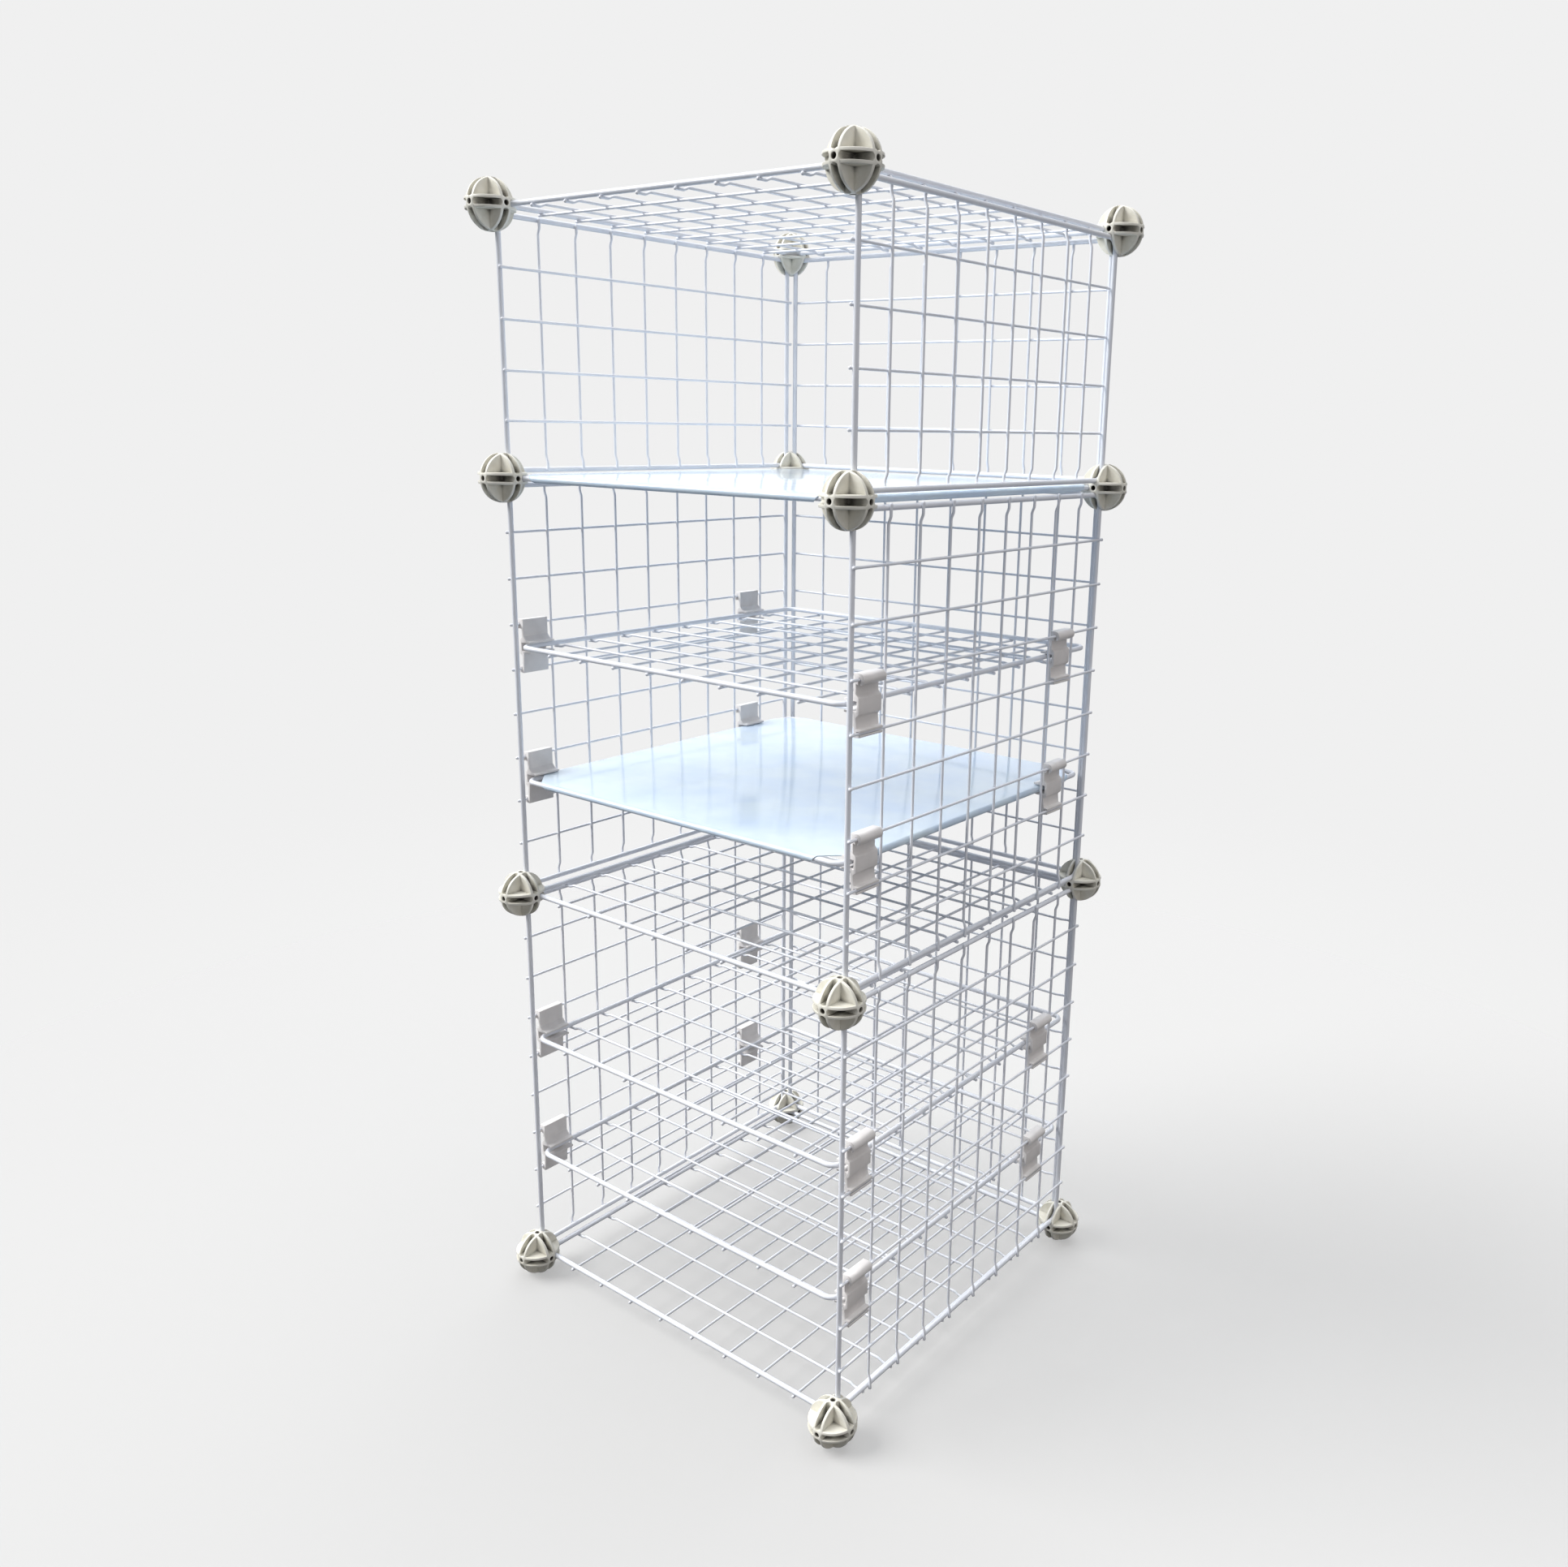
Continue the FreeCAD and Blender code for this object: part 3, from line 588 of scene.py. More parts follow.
# ------------------------------------------------------------------ ball connector
@dataclass
class BallConnector:
    """Three crossed pairs of round ribs with slots for grid corners, mm.

    Attributes:
        name: Name of the ball.
        radius: Radius of the ribs' rims.
        pole: Distance from the centre to the small flats round the holes.
        rib: Thickness of a rib.
        slot_gap: Gap between the two ribs of a pair.
        boss_half: Half of the width of the bosses that carry the holes.
        bore: Radius of a hole.
        bore_depth: Depth of a hole.
        bore_sides: Flats of a hole.
        rim_round: Rounding of a rib's rim.
        rim_sides: Flats of a rim.
        skin_sides: Flats round the ball's outer skin.
        skin_turn: Turn of the skin's mesh, rad, which keeps its edges off the ribs' faces.
        edge_round: Rounding of every other edge.
        plug_round: Rounding of a slot's end, as a share of half its gap.
        cut_play: How far past the slot's faces its cut goes.
        core_depth: Depth under the skin where the matt inside of the ball starts.
        sliver: Edges shorter than this are dissolved after the cuts.
        sharp_rim: Angle from which a rim's edge is rounded, degrees.
        sharp_edge: Angle from which any other edge is, degrees.
        smooth_limit: Angle up to which faces are shaded as one, degrees.
    """
    name: str
    radius: float = 20.0
    pole: float = 19.7
    rib: float = 2.2
    slot_gap: float = 5.0
    boss_half: float = 3.6
    bore: float = 2.2
    bore_depth: float = 11.0
    bore_sides: int = 24
    rim_round: float = 0.4
    rim_sides: int = 72
    skin_sides: int = 96
    skin_turn: tuple[float, float, float] = (0.3, 0.2, 0.1)
    edge_round: float = 0.22
    plug_round: float = 0.98
    cut_play: float = 0.03
    core_depth: float = 1.1
    sliver: float = 0.03
    sharp_rim: float = 50.0
    sharp_edge: float = 48.0
    smooth_limit: float = 32.0

    def rib_disc(self, side: int) -> bpy.types.Object:
        """One round rib of the level pair, its rim following the ball and its edges eased."""
        inner = self.slot_gap / 2
        outer = inner + self.rib
        rims = [math.sqrt(self.radius ** 2 - height ** 2) for height in (inner, outer)]
        deselect()
        bpy.ops.mesh.primitive_cone_add(vertices=self.rim_sides, radius1=rims[0] * MM,
                                        radius2=rims[1] * MM, depth=self.rib * MM,
                                        location=(0, 0, (inner + outer) / 2 * MM))
        disc = bpy.context.object
        apply_modifier(disc, "BEVEL", {"width": self.rim_round * MM, "segments": 3,
                                       "limit_method": "ANGLE",
                                       "angle_limit": math.radians(self.sharp_rim)})
        settle(disc)
        if side < 0:
            disc.rotation_euler = (HALF_TURN, 0, 0)
            settle(disc)
        return disc

    def boss_bar(self) -> bpy.types.Object:
        """The square bar between two poles, whose ends carry the round holes."""
        deselect()
        bpy.ops.mesh.primitive_cube_add(size=1.0)
        bar = bpy.context.object
        bar.scale = Vector((2 * self.boss_half, 2 * self.boss_half, 2 * self.pole)) * MM
        settle(bar)
        return bar

    def slot_plug(self, quarter: int) -> bpy.types.Object:
        """The round-edged shape that one slot of the level pair takes out of the ball."""
        edge = self.slot_gap / 2 + self.cut_play
        size = self.radius + 2 * edge - self.boss_half
        centre = self.boss_half + size / 2
        deselect()
        bpy.ops.mesh.primitive_cube_add(size=1.0)
        plug = bpy.context.object
        plug.scale = Vector((size, size, 2 * edge)) * MM
        settle(plug)
        apply_modifier(plug, "BEVEL", {"width": edge * self.plug_round * MM, "segments": 6,
                                       "limit_method": "ANGLE"})
        plug.location = Vector((centre, centre, 0)) * MM
        settle(plug)
        plug.rotation_euler = (0, 0, QUARTER_TURN * quarter)
        settle(plug)
        return plug

    def drill(self, side: int) -> bpy.types.Object:
        """The blind hole at one pole."""
        deselect()
        bpy.ops.mesh.primitive_cylinder_add(vertices=self.bore_sides, radius=self.bore * MM,
                                            depth=2 * self.bore_depth * MM,
                                            location=(0, 0, side * self.pole * MM))
        return bpy.context.object

    def three_ways(self, name: str,
                   makers: Sequence[Callable[[], bpy.types.Object]]) -> bpy.types.Object:
        """Join shapes made about Z with copies of them turned to X and Y.

        Args:
            name: Name of the joined shape.
            makers: Functions that each make one shape about Z.

        Returns:
            The joined shape.
        """
        level = join(name, [make() for make in makers])
        turns = []
        for number in (1, 2):
            turned = level.copy()
            turned.data = level.data.copy()
            bpy.context.scene.collection.objects.link(turned)
            turned.data.transform(Matrix.Rotation(number * THIRD_TURN, 4, Vector((1, 1, 1))))
            turns.append(turned)
        return join(name, [level] + turns)

    def build(self) -> bpy.types.Object:
        """Cross the ribs, cut the slots and holes, and dress the ball."""
        discs = [partial(self.rib_disc, side) for side in (1, -1)]
        ribs = self.three_ways(self.name + "_ribs", discs + [self.boss_bar])
        plugs = [partial(self.slot_plug, quarter) for quarter in range(4)]
        drills = [partial(self.drill, side) for side in (1, -1)]
        cuts = self.three_ways(self.name + "_cuts", plugs + drills)
        deselect()
        bpy.ops.mesh.primitive_cube_add(size=2 * self.pole * MM)
        flats = bpy.context.object
        deselect()
        bpy.ops.mesh.primitive_uv_sphere_add(segments=self.skin_sides,
                                             ring_count=self.skin_sides // 2,
                                             radius=self.radius * MM, rotation=self.skin_turn)
        ball = bpy.context.object
        ball.name = self.name
        settle(ball)
        for operation, tool in (("INTERSECT", flats), ("INTERSECT", ribs), ("DIFFERENCE", cuts)):
            apply_modifier(ball, "BOOLEAN", {"operation": operation, "object": tool,
                                             "solver": "EXACT", "use_self": True})
            bpy.data.objects.remove(tool)
        self.clean(ball)
        apply_modifier(ball, "BEVEL", {"width": self.edge_round * MM, "segments": 2,
                                       "limit_method": "ANGLE",
                                       "angle_limit": math.radians(self.sharp_edge)})
        round_shading(ball, self.smooth_limit)
        self.dress(ball)
        return ball

    def clean(self, ball: bpy.types.Object) -> None:
        """Merge the slivers that the cuts leave, and drop loose edges."""
        pick(ball)
        with editing():
            bpy.ops.mesh.remove_doubles(threshold=self.sliver * MM)
            bpy.ops.mesh.dissolve_degenerate(threshold=self.sliver * MM)
            bpy.ops.mesh.delete_loose()

    def dress(self, ball: bpy.types.Object) -> None:
        """Give the outer skin its satin finish and the faces inside the tool's matt one, which
        also carries painted shade.
        """
        ball.data.materials.clear()
        ball.data.materials.append(MOULDED_ABS.material())
        ball.data.materials.append(MOULDED_CORE.material())
        skin = (self.radius - self.core_depth) * MM
        # faces inside the skin get the darker core finish: painted shade in the pockets
        for face in ball.data.polygons:
            face.material_index = int(face.center.length < skin)


# ------------------------------------------------------------------ shelf clip
@dataclass
class ShelfClip:
    """An extruded clip that rolls over one wall wire and snaps on the next below, mm.

    Its section is drawn outward and up from the wall's frame plane at the upper wire.

    Attributes:
        name: Name of the clip.
        length: Length of the strip.
        wall: Thickness of its walls.
        roll: Outer radius of the roll over the upper wire.
        bore: Inner radius of the roll.
        mouth: Width of the roll's mouth.
        wire: Distance of the wall's wires out from its frame plane.
        pitch: Height from the lower wire to the upper one.
        neck: Inner face of the neck.
        throat_height: Height of the throat that takes the shelf's frame wire.
        throat_end: Where the throat ends.
        lip_tip: Where the throat's two lips end.
        lip_taper: How much thinner a lip is at its tip.
        gusset: Size of the gusset over the upper lip.
        block: Height of the block above and below the throat.
        jaw_gap: Height of the snap jaw inside.
        jaw_mouth: Height of its mouth, between the barbs.
        jaw_wall: Thickness of its teeth.
        jaw_root: Where the jaw starts.
        jaw_tip: Where it ends.
        jaw_barb: Length of the barbs.
        chamfer: Chamfer of the teeth.
        waist_height: Half of the height over which the block eases into the neck.
        waist_steps: Steps of that ease.
        arc_steps: Steps of each arc of the roll.
        edge_round: Rounding of every sharp edge.
        sharp_edge: Angle from which an edge is rounded, degrees.
        smooth_limit: Angle up to which faces are shaded as one, degrees.
        merge_gap: Points of the section closer than this are one.
    """
    name: str
    length: float = 26.0
    wall: float = 2.0
    roll: float = 4.2
    bore: float = 1.4
    mouth: float = 2.4
    wire: float = 3.05
    pitch: float = 38.411
    neck: float = -1.8
    throat_height: float = 7.0
    throat_end: float = 1.0
    lip_tip: float = -10.0
    lip_taper: float = 0.5
    gusset: float = 3.5
    block: float = 3.5
    jaw_gap: float = 2.7
    jaw_mouth: float = 1.9
    jaw_wall: float = 1.8
    jaw_root: float = 1.0
    jaw_tip: float = 4.8
    jaw_barb: float = 0.8
    chamfer: float = 0.6
    waist_height: float = 1.7
    waist_steps: int = 8
    arc_steps: int = 12
    edge_round: float = 0.35
    sharp_edge: float = 40.0
    smooth_limit: float = 35.0
    merge_gap: float = 0.01

    def arc(self, radius: float, start: float, end: float) -> list[tuple[float, float]]:
        """Points about the upper wire, from one angle to another in degrees."""
        points = []
        for step in range(self.arc_steps + 1):
            angle = math.radians(start + (end - start) * step / self.arc_steps)
            points.append((self.wire + radius * math.cos(angle), radius * math.sin(angle)))
        return points

    def waist(self, back: float, height: float, rise: int) -> list[tuple[float, float]]:
        """The eased step from the block's outer face to the neck's.

        Args:
            back: Outer face of the neck, mm.
            height: Height of the step, mm.
            rise: 1 where the block is above the neck, -1 where it is below.

        Returns:
            Points from the block to the neck.
        """
        face = self.throat_end + self.wall
        points = []
        for step in range(self.waist_steps + 1):
            share = step / self.waist_steps
            across = face + (back - face) * (1 - math.cos(share * HALF_TURN)) / 2
            points.append((across, height + rise * self.waist_height * (1 - 2 * share)))
        return points

    def section(self) -> list[tuple[float, float]]:
        """Corners of the section, outward and up, clockwise from the top of the neck."""
        top = -self.pitch / 2 + self.throat_height / 2
        floor = top - self.throat_height
        back = self.neck + self.wall
        roll_gap = math.degrees(math.asin(self.mouth / 2 / self.roll))
        bore_gap = math.degrees(math.asin(self.mouth / 2 / self.bore))
        neck_angle = math.degrees(math.acos((self.wire - back) / self.roll))
        half_gap = self.jaw_gap / 2
        half_mouth = self.jaw_mouth / 2
        jaw = self.jaw_tip - self.jaw_barb
        points = [(self.neck, self.roll)]
        points += self.arc(self.roll, 90, -90 + roll_gap)
        points += self.arc(self.bore, -90 + bore_gap, 270 - bore_gap)
        points += self.arc(self.roll, 270 - roll_gap, 180 + neck_angle)
        points += self.waist(back, top + self.block, -1)[::-1]
        points += self.waist(back, floor - self.block, 1)
        for sign in (1, -1):
            tooth = [(self.jaw_root, half_gap + self.jaw_wall),
                     (self.jaw_tip, half_gap + self.jaw_wall - self.chamfer),
                     (self.jaw_tip, half_mouth), (jaw, half_mouth), (jaw, half_gap),
                     (self.jaw_root, half_gap)]
            points += [(across, sign * up - self.pitch) for across, up in tooth[::sign]]
        points += [(self.jaw_root - self.wall, -self.pitch - half_gap - self.jaw_wall),
                   (self.neck, floor - self.block), (self.neck, floor - self.wall),
                   (self.lip_tip, floor - self.wall + self.lip_taper), (self.lip_tip, floor),
                   (self.throat_end, floor), (self.throat_end, top), (self.lip_tip, top),
                   (self.lip_tip, top + self.wall - self.lip_taper),
                   (self.neck - self.gusset, top + self.wall),
                   (self.neck, top + self.wall + self.gusset)]
        return points

    def build(self) -> bpy.types.Object:
        """Draw the section, extrude it, ease its edges and dress the clip."""
        outline = [Vector((across, -self.length / 2, up)) for across, up in self.section()]
        clip = add_point(self.name)
        with editing():
            bpy.ops.transform.translate(value=outline[0] * MM)
            for here, there in zip(outline, outline[1:] + outline[:1]):
                extrude_point(there - here)
            bpy.ops.mesh.select_all(action="SELECT")
            bpy.ops.mesh.remove_doubles(threshold=self.merge_gap * MM)
            bpy.ops.mesh.edge_face_add()
            extrude(Y_AXIS * self.length)
            face_outwards()
        apply_modifier(clip, "BEVEL", {"width": self.edge_round * MM, "segments": 2,
                                       "limit_method": "ANGLE",
                                       "angle_limit": math.radians(self.sharp_edge)})
        round_shading(clip, self.smooth_limit)
        clip.data.materials.append(EXTRUDED_CLIP.material())
        return clip


# ------------------------------------------------------------------ the tower
class Way(Enum):
    """A direction in the tower, seen by someone in front of it."""
    LEFT = Vector((-1, 0, 0))
    RIGHT = Vector((1, 0, 0))
    BACK = Vector((0, 1, 0))
    UP = Vector((0, 0, 1))
    DOWN = Vector((0, 0, -1))


class Stock(Enum):
    """The kinds of panel that the tower is built from, and the piece's name for each."""
    SQUARE_GRID = "square_grid"
    SHORT_GRID = "short_grid"
    BARE_FRAME = "bare_frame"
    ROLLED_SHEET = "rolled_sheet"


@dataclass(frozen=True)
class Panel:
    """Where one panel goes.

    Attributes:
        node: The frame's node that it stands for.
        stock: Kind of panel.
        straight: Way that its straight wires run.
        mesh_side: Way that its mesh side, or a sheet's flat, faces.
        body: Body that it moves with.
    """
    node: str
    stock: Stock
    straight: Way
    mesh_side: Way
    body: str = "tower"


@dataclass
class StorageTower:
    """Three tiers of panels in ball connectors, with four shelves that slide in clips, mm.

    Attributes:
        body: Body of all that doesn't slide.
        half: Half of a square panel's side, to the frame's centreline.
        half_short: Half of a short grid's height, to the same.
        cells: Cells along a square panel's side.
        cells_short: Cells up a short grid.
        upright_tip: How far a square grid's cranked wires reach past the centreline.
        upright_tip_short: How far a short grid's do.
        frame_radius: Radius of the frame wire.
        clip_roll: Outer radius of a clip's roll.
        clip_lips: How far a clip's lips reach in from the wall's frame plane.
        levels: Levels of the ball connectors, from the floor up.
        sides: Sides of the tower.
        ends: Its front and back.
        tiers: Tiers that have shelves.
        rows: Heights of the shelves in a tier.
    """
    body: str = "tower"
    half: float = 172.85
    half_short: float = 97.85
    cells: int = 9
    cells_short: int = 5
    upright_tip: float = 3.15
    upright_tip_short: float = 0.95
    frame_radius: float = 2.15
    clip_roll: float = 4.2
    clip_lips: float = 10.0
    levels: tuple[str, ...] = ("base", "lower", "upper", "top")
    sides: tuple[str, ...] = ("left", "right")
    ends: tuple[str, ...] = ("front", "back")
    tiers: tuple[str, ...] = ("bottom", "middle")
    rows: tuple[str, ...] = ("high", "low")

    def panels(self) -> list[Panel]:
        """Every panel of the tower, from the base up."""
        square, short = Stock.SQUARE_GRID, Stock.SHORT_GRID
        bare, sheet = Stock.BARE_FRAME, Stock.ROLLED_SHEET
        left, right, back, up, down = Way.LEFT, Way.RIGHT, Way.BACK, Way.UP, Way.DOWN
        return [
            Panel("base_grid", square, back, down),
            Panel("lower_deck_grid", square, back, down),
            Panel("upper_deck_frame", bare, right, up),
            Panel("upper_deck_sheet", sheet, right, up),
            Panel("top_grid", square, right, down),
            Panel("bottom_left_wall", square, back, left),
            Panel("bottom_right_wall", square, back, right),
            Panel("bottom_back_wall", square, up, back),
            Panel("middle_left_wall", square, back, left),
            Panel("middle_right_wall", square, back, right),
            Panel("middle_back_wall", square, left, back),
            Panel("top_left_wall", short, back, right),
            Panel("top_right_wall", short, back, left),
            Panel("top_back_wall", short, left, back),
            Panel("bottom_low_shelf", square, back, down, "bottom_low_shelf"),
            Panel("bottom_high_shelf", square, back, down, "bottom_high_shelf"),
            Panel("middle_high_shelf", square, back, down, "middle_high_shelf"),
            Panel("middle_low_shelf_frame", bare, right, up, "middle_low_shelf"),
            Panel("middle_low_shelf_sheet", sheet, right, up, "middle_low_shelf"),
        ]

    def fit(self, master: bpy.types.Object, node: str, body: str, seat: Matrix,
            suffix: str) -> bpy.types.Object:
        """Put a copy of a finished piece in a node's place.

        Args:
            master: The piece, modelled about the origin.
            node: Node that it stands for.
            body: Body that it moves with.
            seat: Turn and place of the copy.
            suffix: Ending of the copy's name.

        Returns:
            The copy, with its place in its mesh.
        """
        piece = master.copy()
        piece.data = master.data.copy()
        piece.name = piece.data.name = f"{node}_{suffix}"
        bpy.context.scene.collection.objects.link(piece)
        piece.data.transform(seat)
        piece.data.update()
        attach(piece, body)
        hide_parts(node)
        log.info("%s: %d faces on %s", piece.name, len(piece.data.polygons), body)
        return piece

    def panel_seat(self, panel: Panel) -> Matrix:
        """Turn and place of a panel whose own straight wires run along X and mesh faces Z."""
        low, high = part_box(panel.node)
        straight, mesh_side = panel.straight.value, panel.mesh_side.value
        seat = Matrix((straight, mesh_side.cross(straight), mesh_side)).transposed().to_4x4()
        centre = (low + high) / 2
        if panel.stock in (Stock.SQUARE_GRID, Stock.SHORT_GRID):
            along = [abs(share) for share in mesh_side].index(1)
            bare_face = low if mesh_side[along] > 0 else high
            centre[along] = bare_face[along] + mesh_side[along] * self.frame_radius * MM
        seat.translation = centre
        return seat

    def clip_seat(self, node: str, side: str) -> Matrix:
        """Turn and place of a clip, from the wire that it hangs on."""
        low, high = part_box(node)
        turn = Matrix.Rotation(0 if side == "right" else HALF_TURN, 4, "Z")
        across = low.x + self.clip_lips * MM if side == "right" else high.x - self.clip_lips * MM
        turn.translation = Vector((across, (low.y + high.y) / 2, high.z - self.clip_roll * MM))
        return turn

    def build(self) -> None:
        """Model each kind of piece once and fit all of its copies."""
        masters = {
            Stock.SQUARE_GRID: WireGrid("square_grid", self.half, self.half, self.cells,
                                        self.cells, self.upright_tip).build(),
            Stock.SHORT_GRID: WireGrid("short_grid", self.half, self.half_short, self.cells,
                                       self.cells_short, self.upright_tip_short).build(),
            Stock.BARE_FRAME: self.bare_frame(),
            Stock.ROLLED_SHEET: PlasticSheet("rolled_sheet", self.half).build(),
        }
        for panel in self.panels():
            piece = self.fit(masters[panel.stock], panel.node, panel.body,
                             self.panel_seat(panel), panel.stock.value)
        ball = BallConnector("ball_connector").build()
        for level, side, end in product(self.levels, self.sides, self.ends):
            node = f"ball_{level}_{end}_{side}"
            low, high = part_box(node)
            seat = Matrix.Translation((low + high) / 2)
            self.fit(ball, node, self.body, seat, "moulded")
        clip = ShelfClip("shelf_clip").build()
        for tier, row, end, side in product(self.tiers, self.rows, self.ends, self.sides):
            node = f"clip_{tier}_{row}_{end}_{side}"
            seat = self.clip_seat(node, side)
            self.fit(clip, node, self.body, seat, "extruded")
        for master in [*masters.values(), ball, clip]:
            bpy.data.objects.remove(master)

    def bare_frame(self) -> bpy.types.Object:
        """A frame wire with no mesh, as the plastic sheets have."""
        ring = WireStock().bent_frame("bare_frame", self.half, self.half)
        round_shading(ring)
        ring.data.materials.append(DIPPED_WIRE.material())
        return ring


# ------------------------------------------------------------------ camera and studio
@dataclass(frozen=True)
class SoftBox:
    """A square studio light that faces a point.

    Attributes:
        name: Name of the light.
        place: Where it hangs, m.
        target: Point that it faces, m.
        side: Length of its sides, m.
        power: Power, W.
        colour: Colour, sRGB hex.
    """
    name: str
    place: tuple[float, float, float]
    target: tuple[float, float, float]
    side: float
    power: float
    colour: str

    def hang(self) -> None:
        """Add the light to the scene."""
        deselect()
        aim = Vector(self.target) - Vector(self.place)
        turn = aim.to_track_quat("-Z", "Y").to_euler()
        bpy.ops.object.light_add(type="AREA", location=self.place, rotation=turn)
        light = bpy.context.object
        light.name = self.name
        light.data.size = self.side
        light.data.energy = self.power
        light.data.color = linear(self.colour)[:3]
        light.visible_camera = False


@dataclass(frozen=True)
class Daylight:
    """Even light from far away, spread as by a bright sky.

    Attributes:
        name: Name of the light.
        source: Direction that it comes from.
        spread: Angle that its source covers, degrees.
        strength: Strength, W/m2.
        colour: Colour, sRGB hex.
    """
    name: str
    source: tuple[float, float, float]
    spread: float
    strength: float
    colour: str

    def shine(self) -> None:
        """Add the light to the scene."""
        deselect()
        turn = (-Vector(self.source)).to_track_quat("-Z", "Y").to_euler()
        bpy.ops.object.light_add(type="SUN", location=self.source, rotation=turn)
        light = bpy.context.object
        light.name = self.name
        light.data.angle = math.radians(self.spread)
        light.data.energy = self.strength
        light.data.color = linear(self.colour)[:3]


@dataclass
class Studio:
    """A pale round floor, soft lights and a camera.

    Attributes:
        pale: Colour of the surroundings as the camera sees them, sRGB hex.
        floor_colour: Colour of the floor as the camera sees it, sRGB hex.
        bounce_colour: Colour of the floor for the light that it sends up, sRGB hex.
        ambient: Colour of the light from all round, sRGB hex.
        ambient_strength: Strength of that light.
        floor_radius: Radius of the floor, m.
        floor_sides: Sides of the floor's rim.
        fade_start: Distance from the tower's middle where the floor starts to fade, m.
        fade_end: Distance where it is gone, m.
        see_through: How clear the floor already is under the tower, which softens shadows.
        camera_place: Where the camera stands, m.
        camera_forward: Way that it looks.
        camera_up: Way that is up for it.
        sensor: Width of its sensor, mm.
        lens: Focal length of its lens, mm.
        shift: Shift of the lens across and up, as shares of the sensor's width.
        near_clip: Nearest distance that it sees, m.
        daylights: Even lights from far away.
        lights: Studio lights.
    """
    pale: str = "F0F0F0"
    floor_colour: str = "BCBBB9"
    bounce_colour: str = "3E3935"
    ambient: str = "DDE5F2"
    ambient_strength: float = 0.24
    floor_radius: float = 6.0
    floor_sides: int = 128
    fade_start: float = 0.7
    fade_end: float = 1.9
    see_through: float = 0.45
    camera_place: tuple[float, float, float] = (0.737, -0.887, 0.786)
    camera_forward: tuple[float, float, float] = (-0.581, 0.775, -0.247)
    camera_up: tuple[float, float, float] = (-0.166, 0.184, 0.969)
    sensor: float = 36.0
    lens: float = 30.86
    shift: tuple[float, float] = (-0.058, -0.0122)
    near_clip: float = 0.01
    daylights: tuple[Daylight, ...] = (
        Daylight("left_sky", (-0.8, -0.56, 0.8), 40.0, 4.2, "FFFFFF"),
        Daylight("high_sky", (-0.1, 0.3, 1.0), 60.0, 2.0, "FAFCFF"),
        Daylight("right_wall", (1.0, -0.2, 0.5), 90.0, 0.8, "FFF8F2"),
    )
    lights: tuple[SoftBox, ...] = (
        SoftBox("window", (-1.7, 2.3, 1.1), (0.0, 0.0, 0.5), 2.4, 20.0, "F2F7FF"),
    )

    def lay_floor(self) -> None:
        """Lay the floor, which fades out into the pale surroundings."""
        deselect()
        bpy.ops.mesh.primitive_circle_add(vertices=self.floor_sides, radius=self.floor_radius,
                                          fill_type="NGON")
        floor = bpy.context.object
        floor.name = "studio_floor"
        paint = bpy.data.materials.new("matt_white_studio_paint")
        paint.use_nodes = True
        tree = paint.node_tree
        tree.nodes.clear()
        place = add_node(tree, "ShaderNodeTexCoord")
        reach = add_node(tree, "ShaderNodeVectorMath", {"operation": "LENGTH"},
                         {"Vector": place.outputs["Object"]})
        fade = add_node(tree, "ShaderNodeMapRange",
                        {"interpolation_type": "SMOOTHSTEP", "From Min": self.fade_start,
                         "From Max": self.fade_end, "To Min": self.see_through},
                        {"Value": reach.outputs["Value"]})
        path = add_node(tree, "ShaderNodeLightPath")
        tone = add_node(tree, "ShaderNodeMix", {"data_type": "RGBA"},
                        {"Factor": path.outputs["Is Camera Ray"]})
        tone.inputs["A"].default_value = linear(self.bounce_colour)
        tone.inputs["B"].default_value = linear(self.floor_colour)
        matt = add_node(tree, "ShaderNodeBsdfDiffuse", {}, {"Color": tone.outputs["Result"]})
        clear = add_node(tree, "ShaderNodeBsdfTransparent")
        mix = add_node(tree, "ShaderNodeMixShader", {}, {"Fac": fade.outputs["Result"]})
        tree.links.new(matt.outputs["BSDF"], mix.inputs[1])
        tree.links.new(clear.outputs["BSDF"], mix.inputs[2])
        add_node(tree, "ShaderNodeOutputMaterial", {}, {"Surface": mix.outputs["Shader"]})
        floor.data.materials.append(paint)

    def surround(self) -> None:
        """Fill the surroundings with even light, and show them as one pale tone."""
        world = bpy.data.worlds.new("pale_surroundings")
        bpy.context.scene.world = world
        world.use_nodes = True
        tree = world.node_tree
        tree.nodes.clear()
        path = add_node(tree, "ShaderNodeLightPath")
        glow = add_node(tree, "ShaderNodeBackground", {"Color": linear(self.ambient),
                                                       "Strength": self.ambient_strength})
        plain = add_node(tree, "ShaderNodeBackground", {"Color": linear(self.pale),
                                                        "Strength": 1.0})
        mix = add_node(tree, "ShaderNodeMixShader", {}, {"Fac": path.outputs["Is Camera Ray"]})
        tree.links.new(glow.outputs["Background"], mix.inputs[1])
        tree.links.new(plain.outputs["Background"], mix.inputs[2])
        add_node(tree, "ShaderNodeOutputWorld", {}, {"Surface": mix.outputs["Shader"]})

    def set_camera(self) -> None:
        """Stand the camera at the front right corner, a little above the middle."""
        forward = Vector(self.camera_forward).normalized()
        across = forward.cross(Vector(self.camera_up)).normalized()
        up = across.cross(forward)
        turn = Matrix((across, up, -forward)).transposed()
        deselect()
        bpy.ops.object.camera_add(location=self.camera_place, rotation=turn.to_euler())
        camera = bpy.context.object
        camera.name = "camera"
        camera.data.sensor_width = self.sensor
        camera.data.lens = self.lens
        camera.data.shift_x, camera.data.shift_y = self.shift
        camera.data.clip_start = self.near_clip
        bpy.context.scene.camera = camera

    def build(self) -> None:
        """Set up the camera, the floor and the light."""
        self.set_camera()
        self.lay_floor()
        self.surround()
        for daylight in self.daylights:
            daylight.shine()
        for light in self.lights:
            light.hang()
        bpy.context.scene.view_settings.view_transform = "Standard"


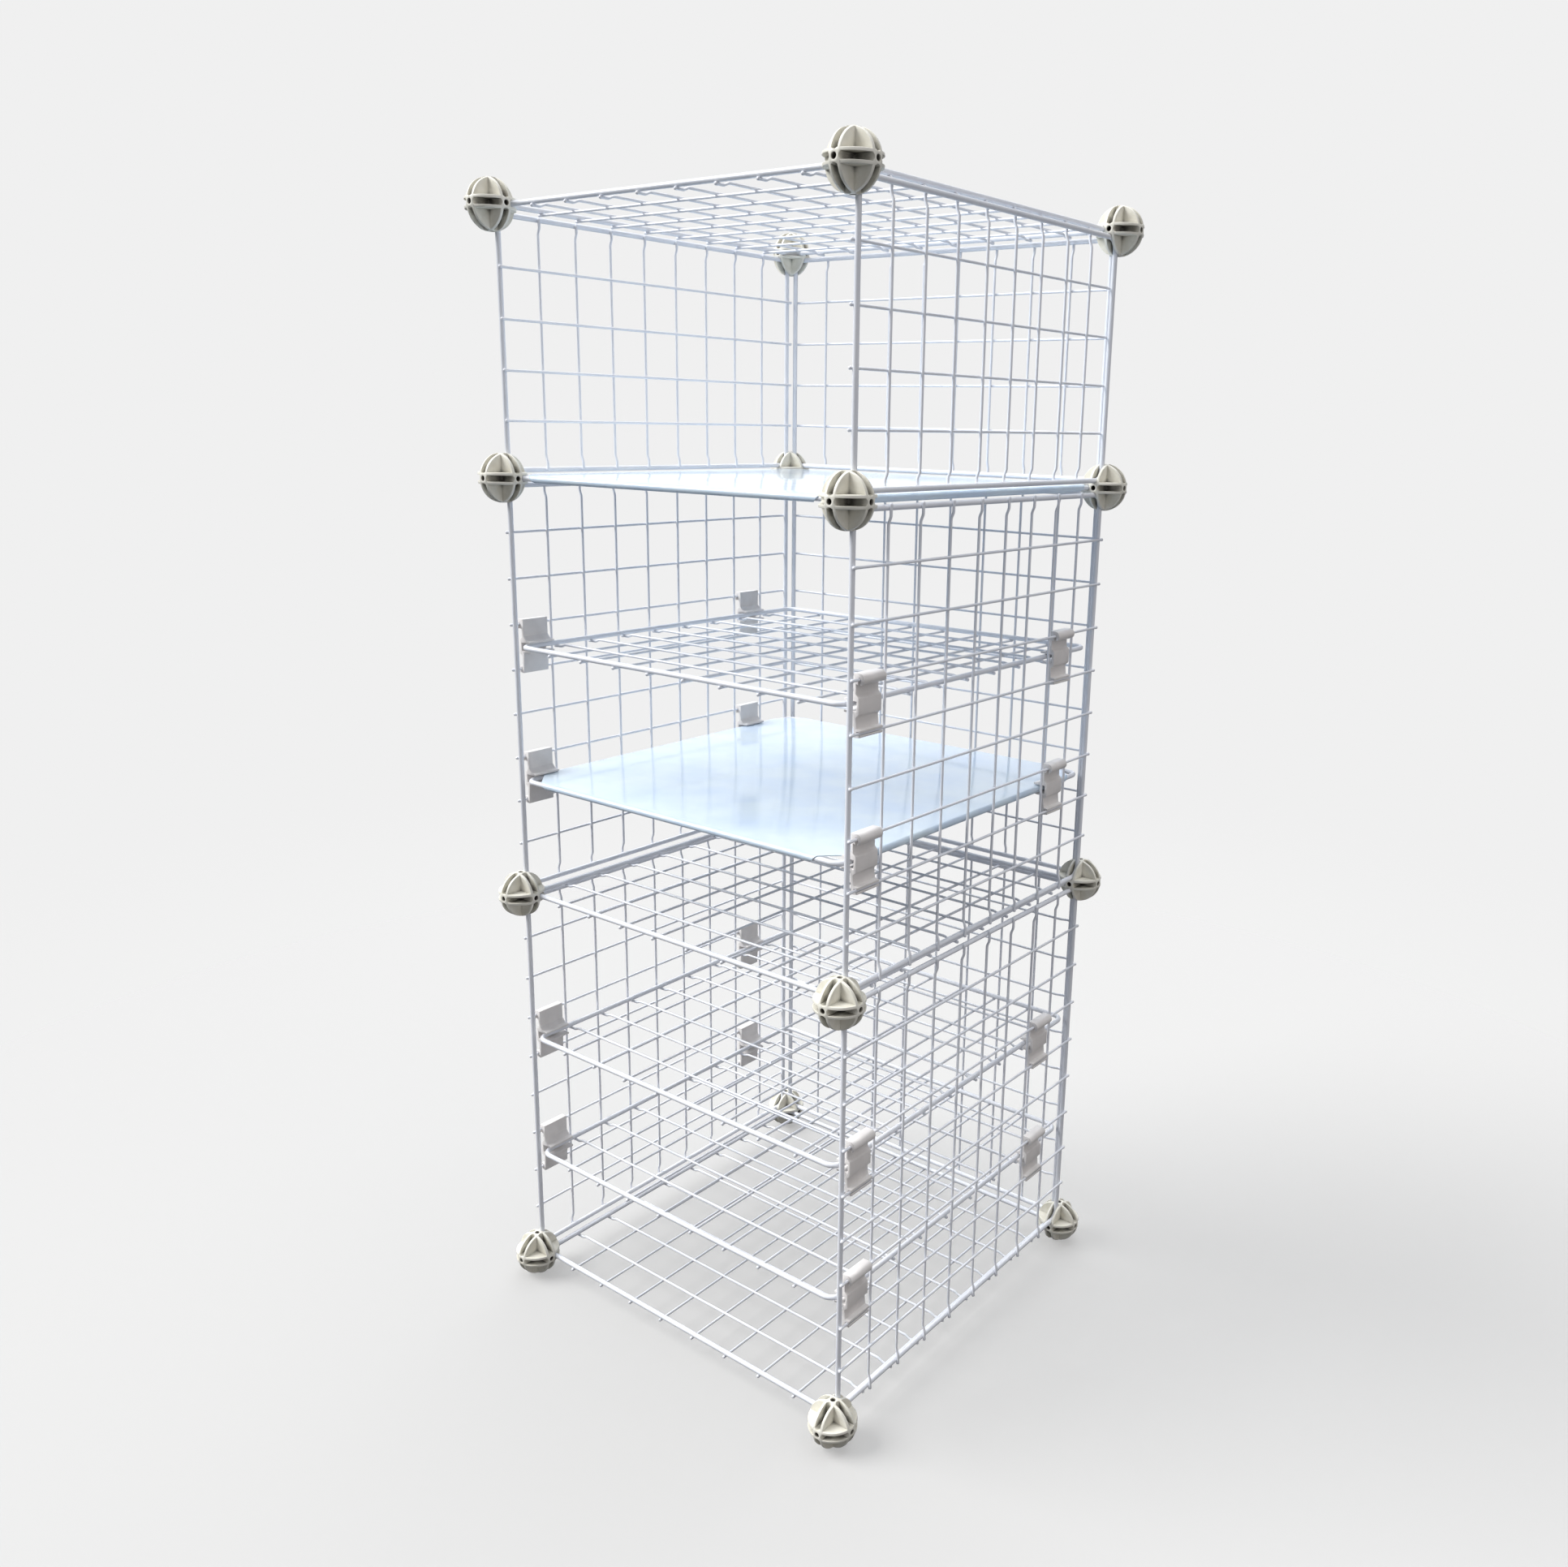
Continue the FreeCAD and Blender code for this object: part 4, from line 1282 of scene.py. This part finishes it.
def main() -> None:
    """Build the tower and its studio."""
    logging.basicConfig(level=logging.INFO, format="%(name)s: %(message)s")
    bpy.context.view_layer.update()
    Studio().build()
    StorageTower().build()


if __name__ == "__main__":
    main()
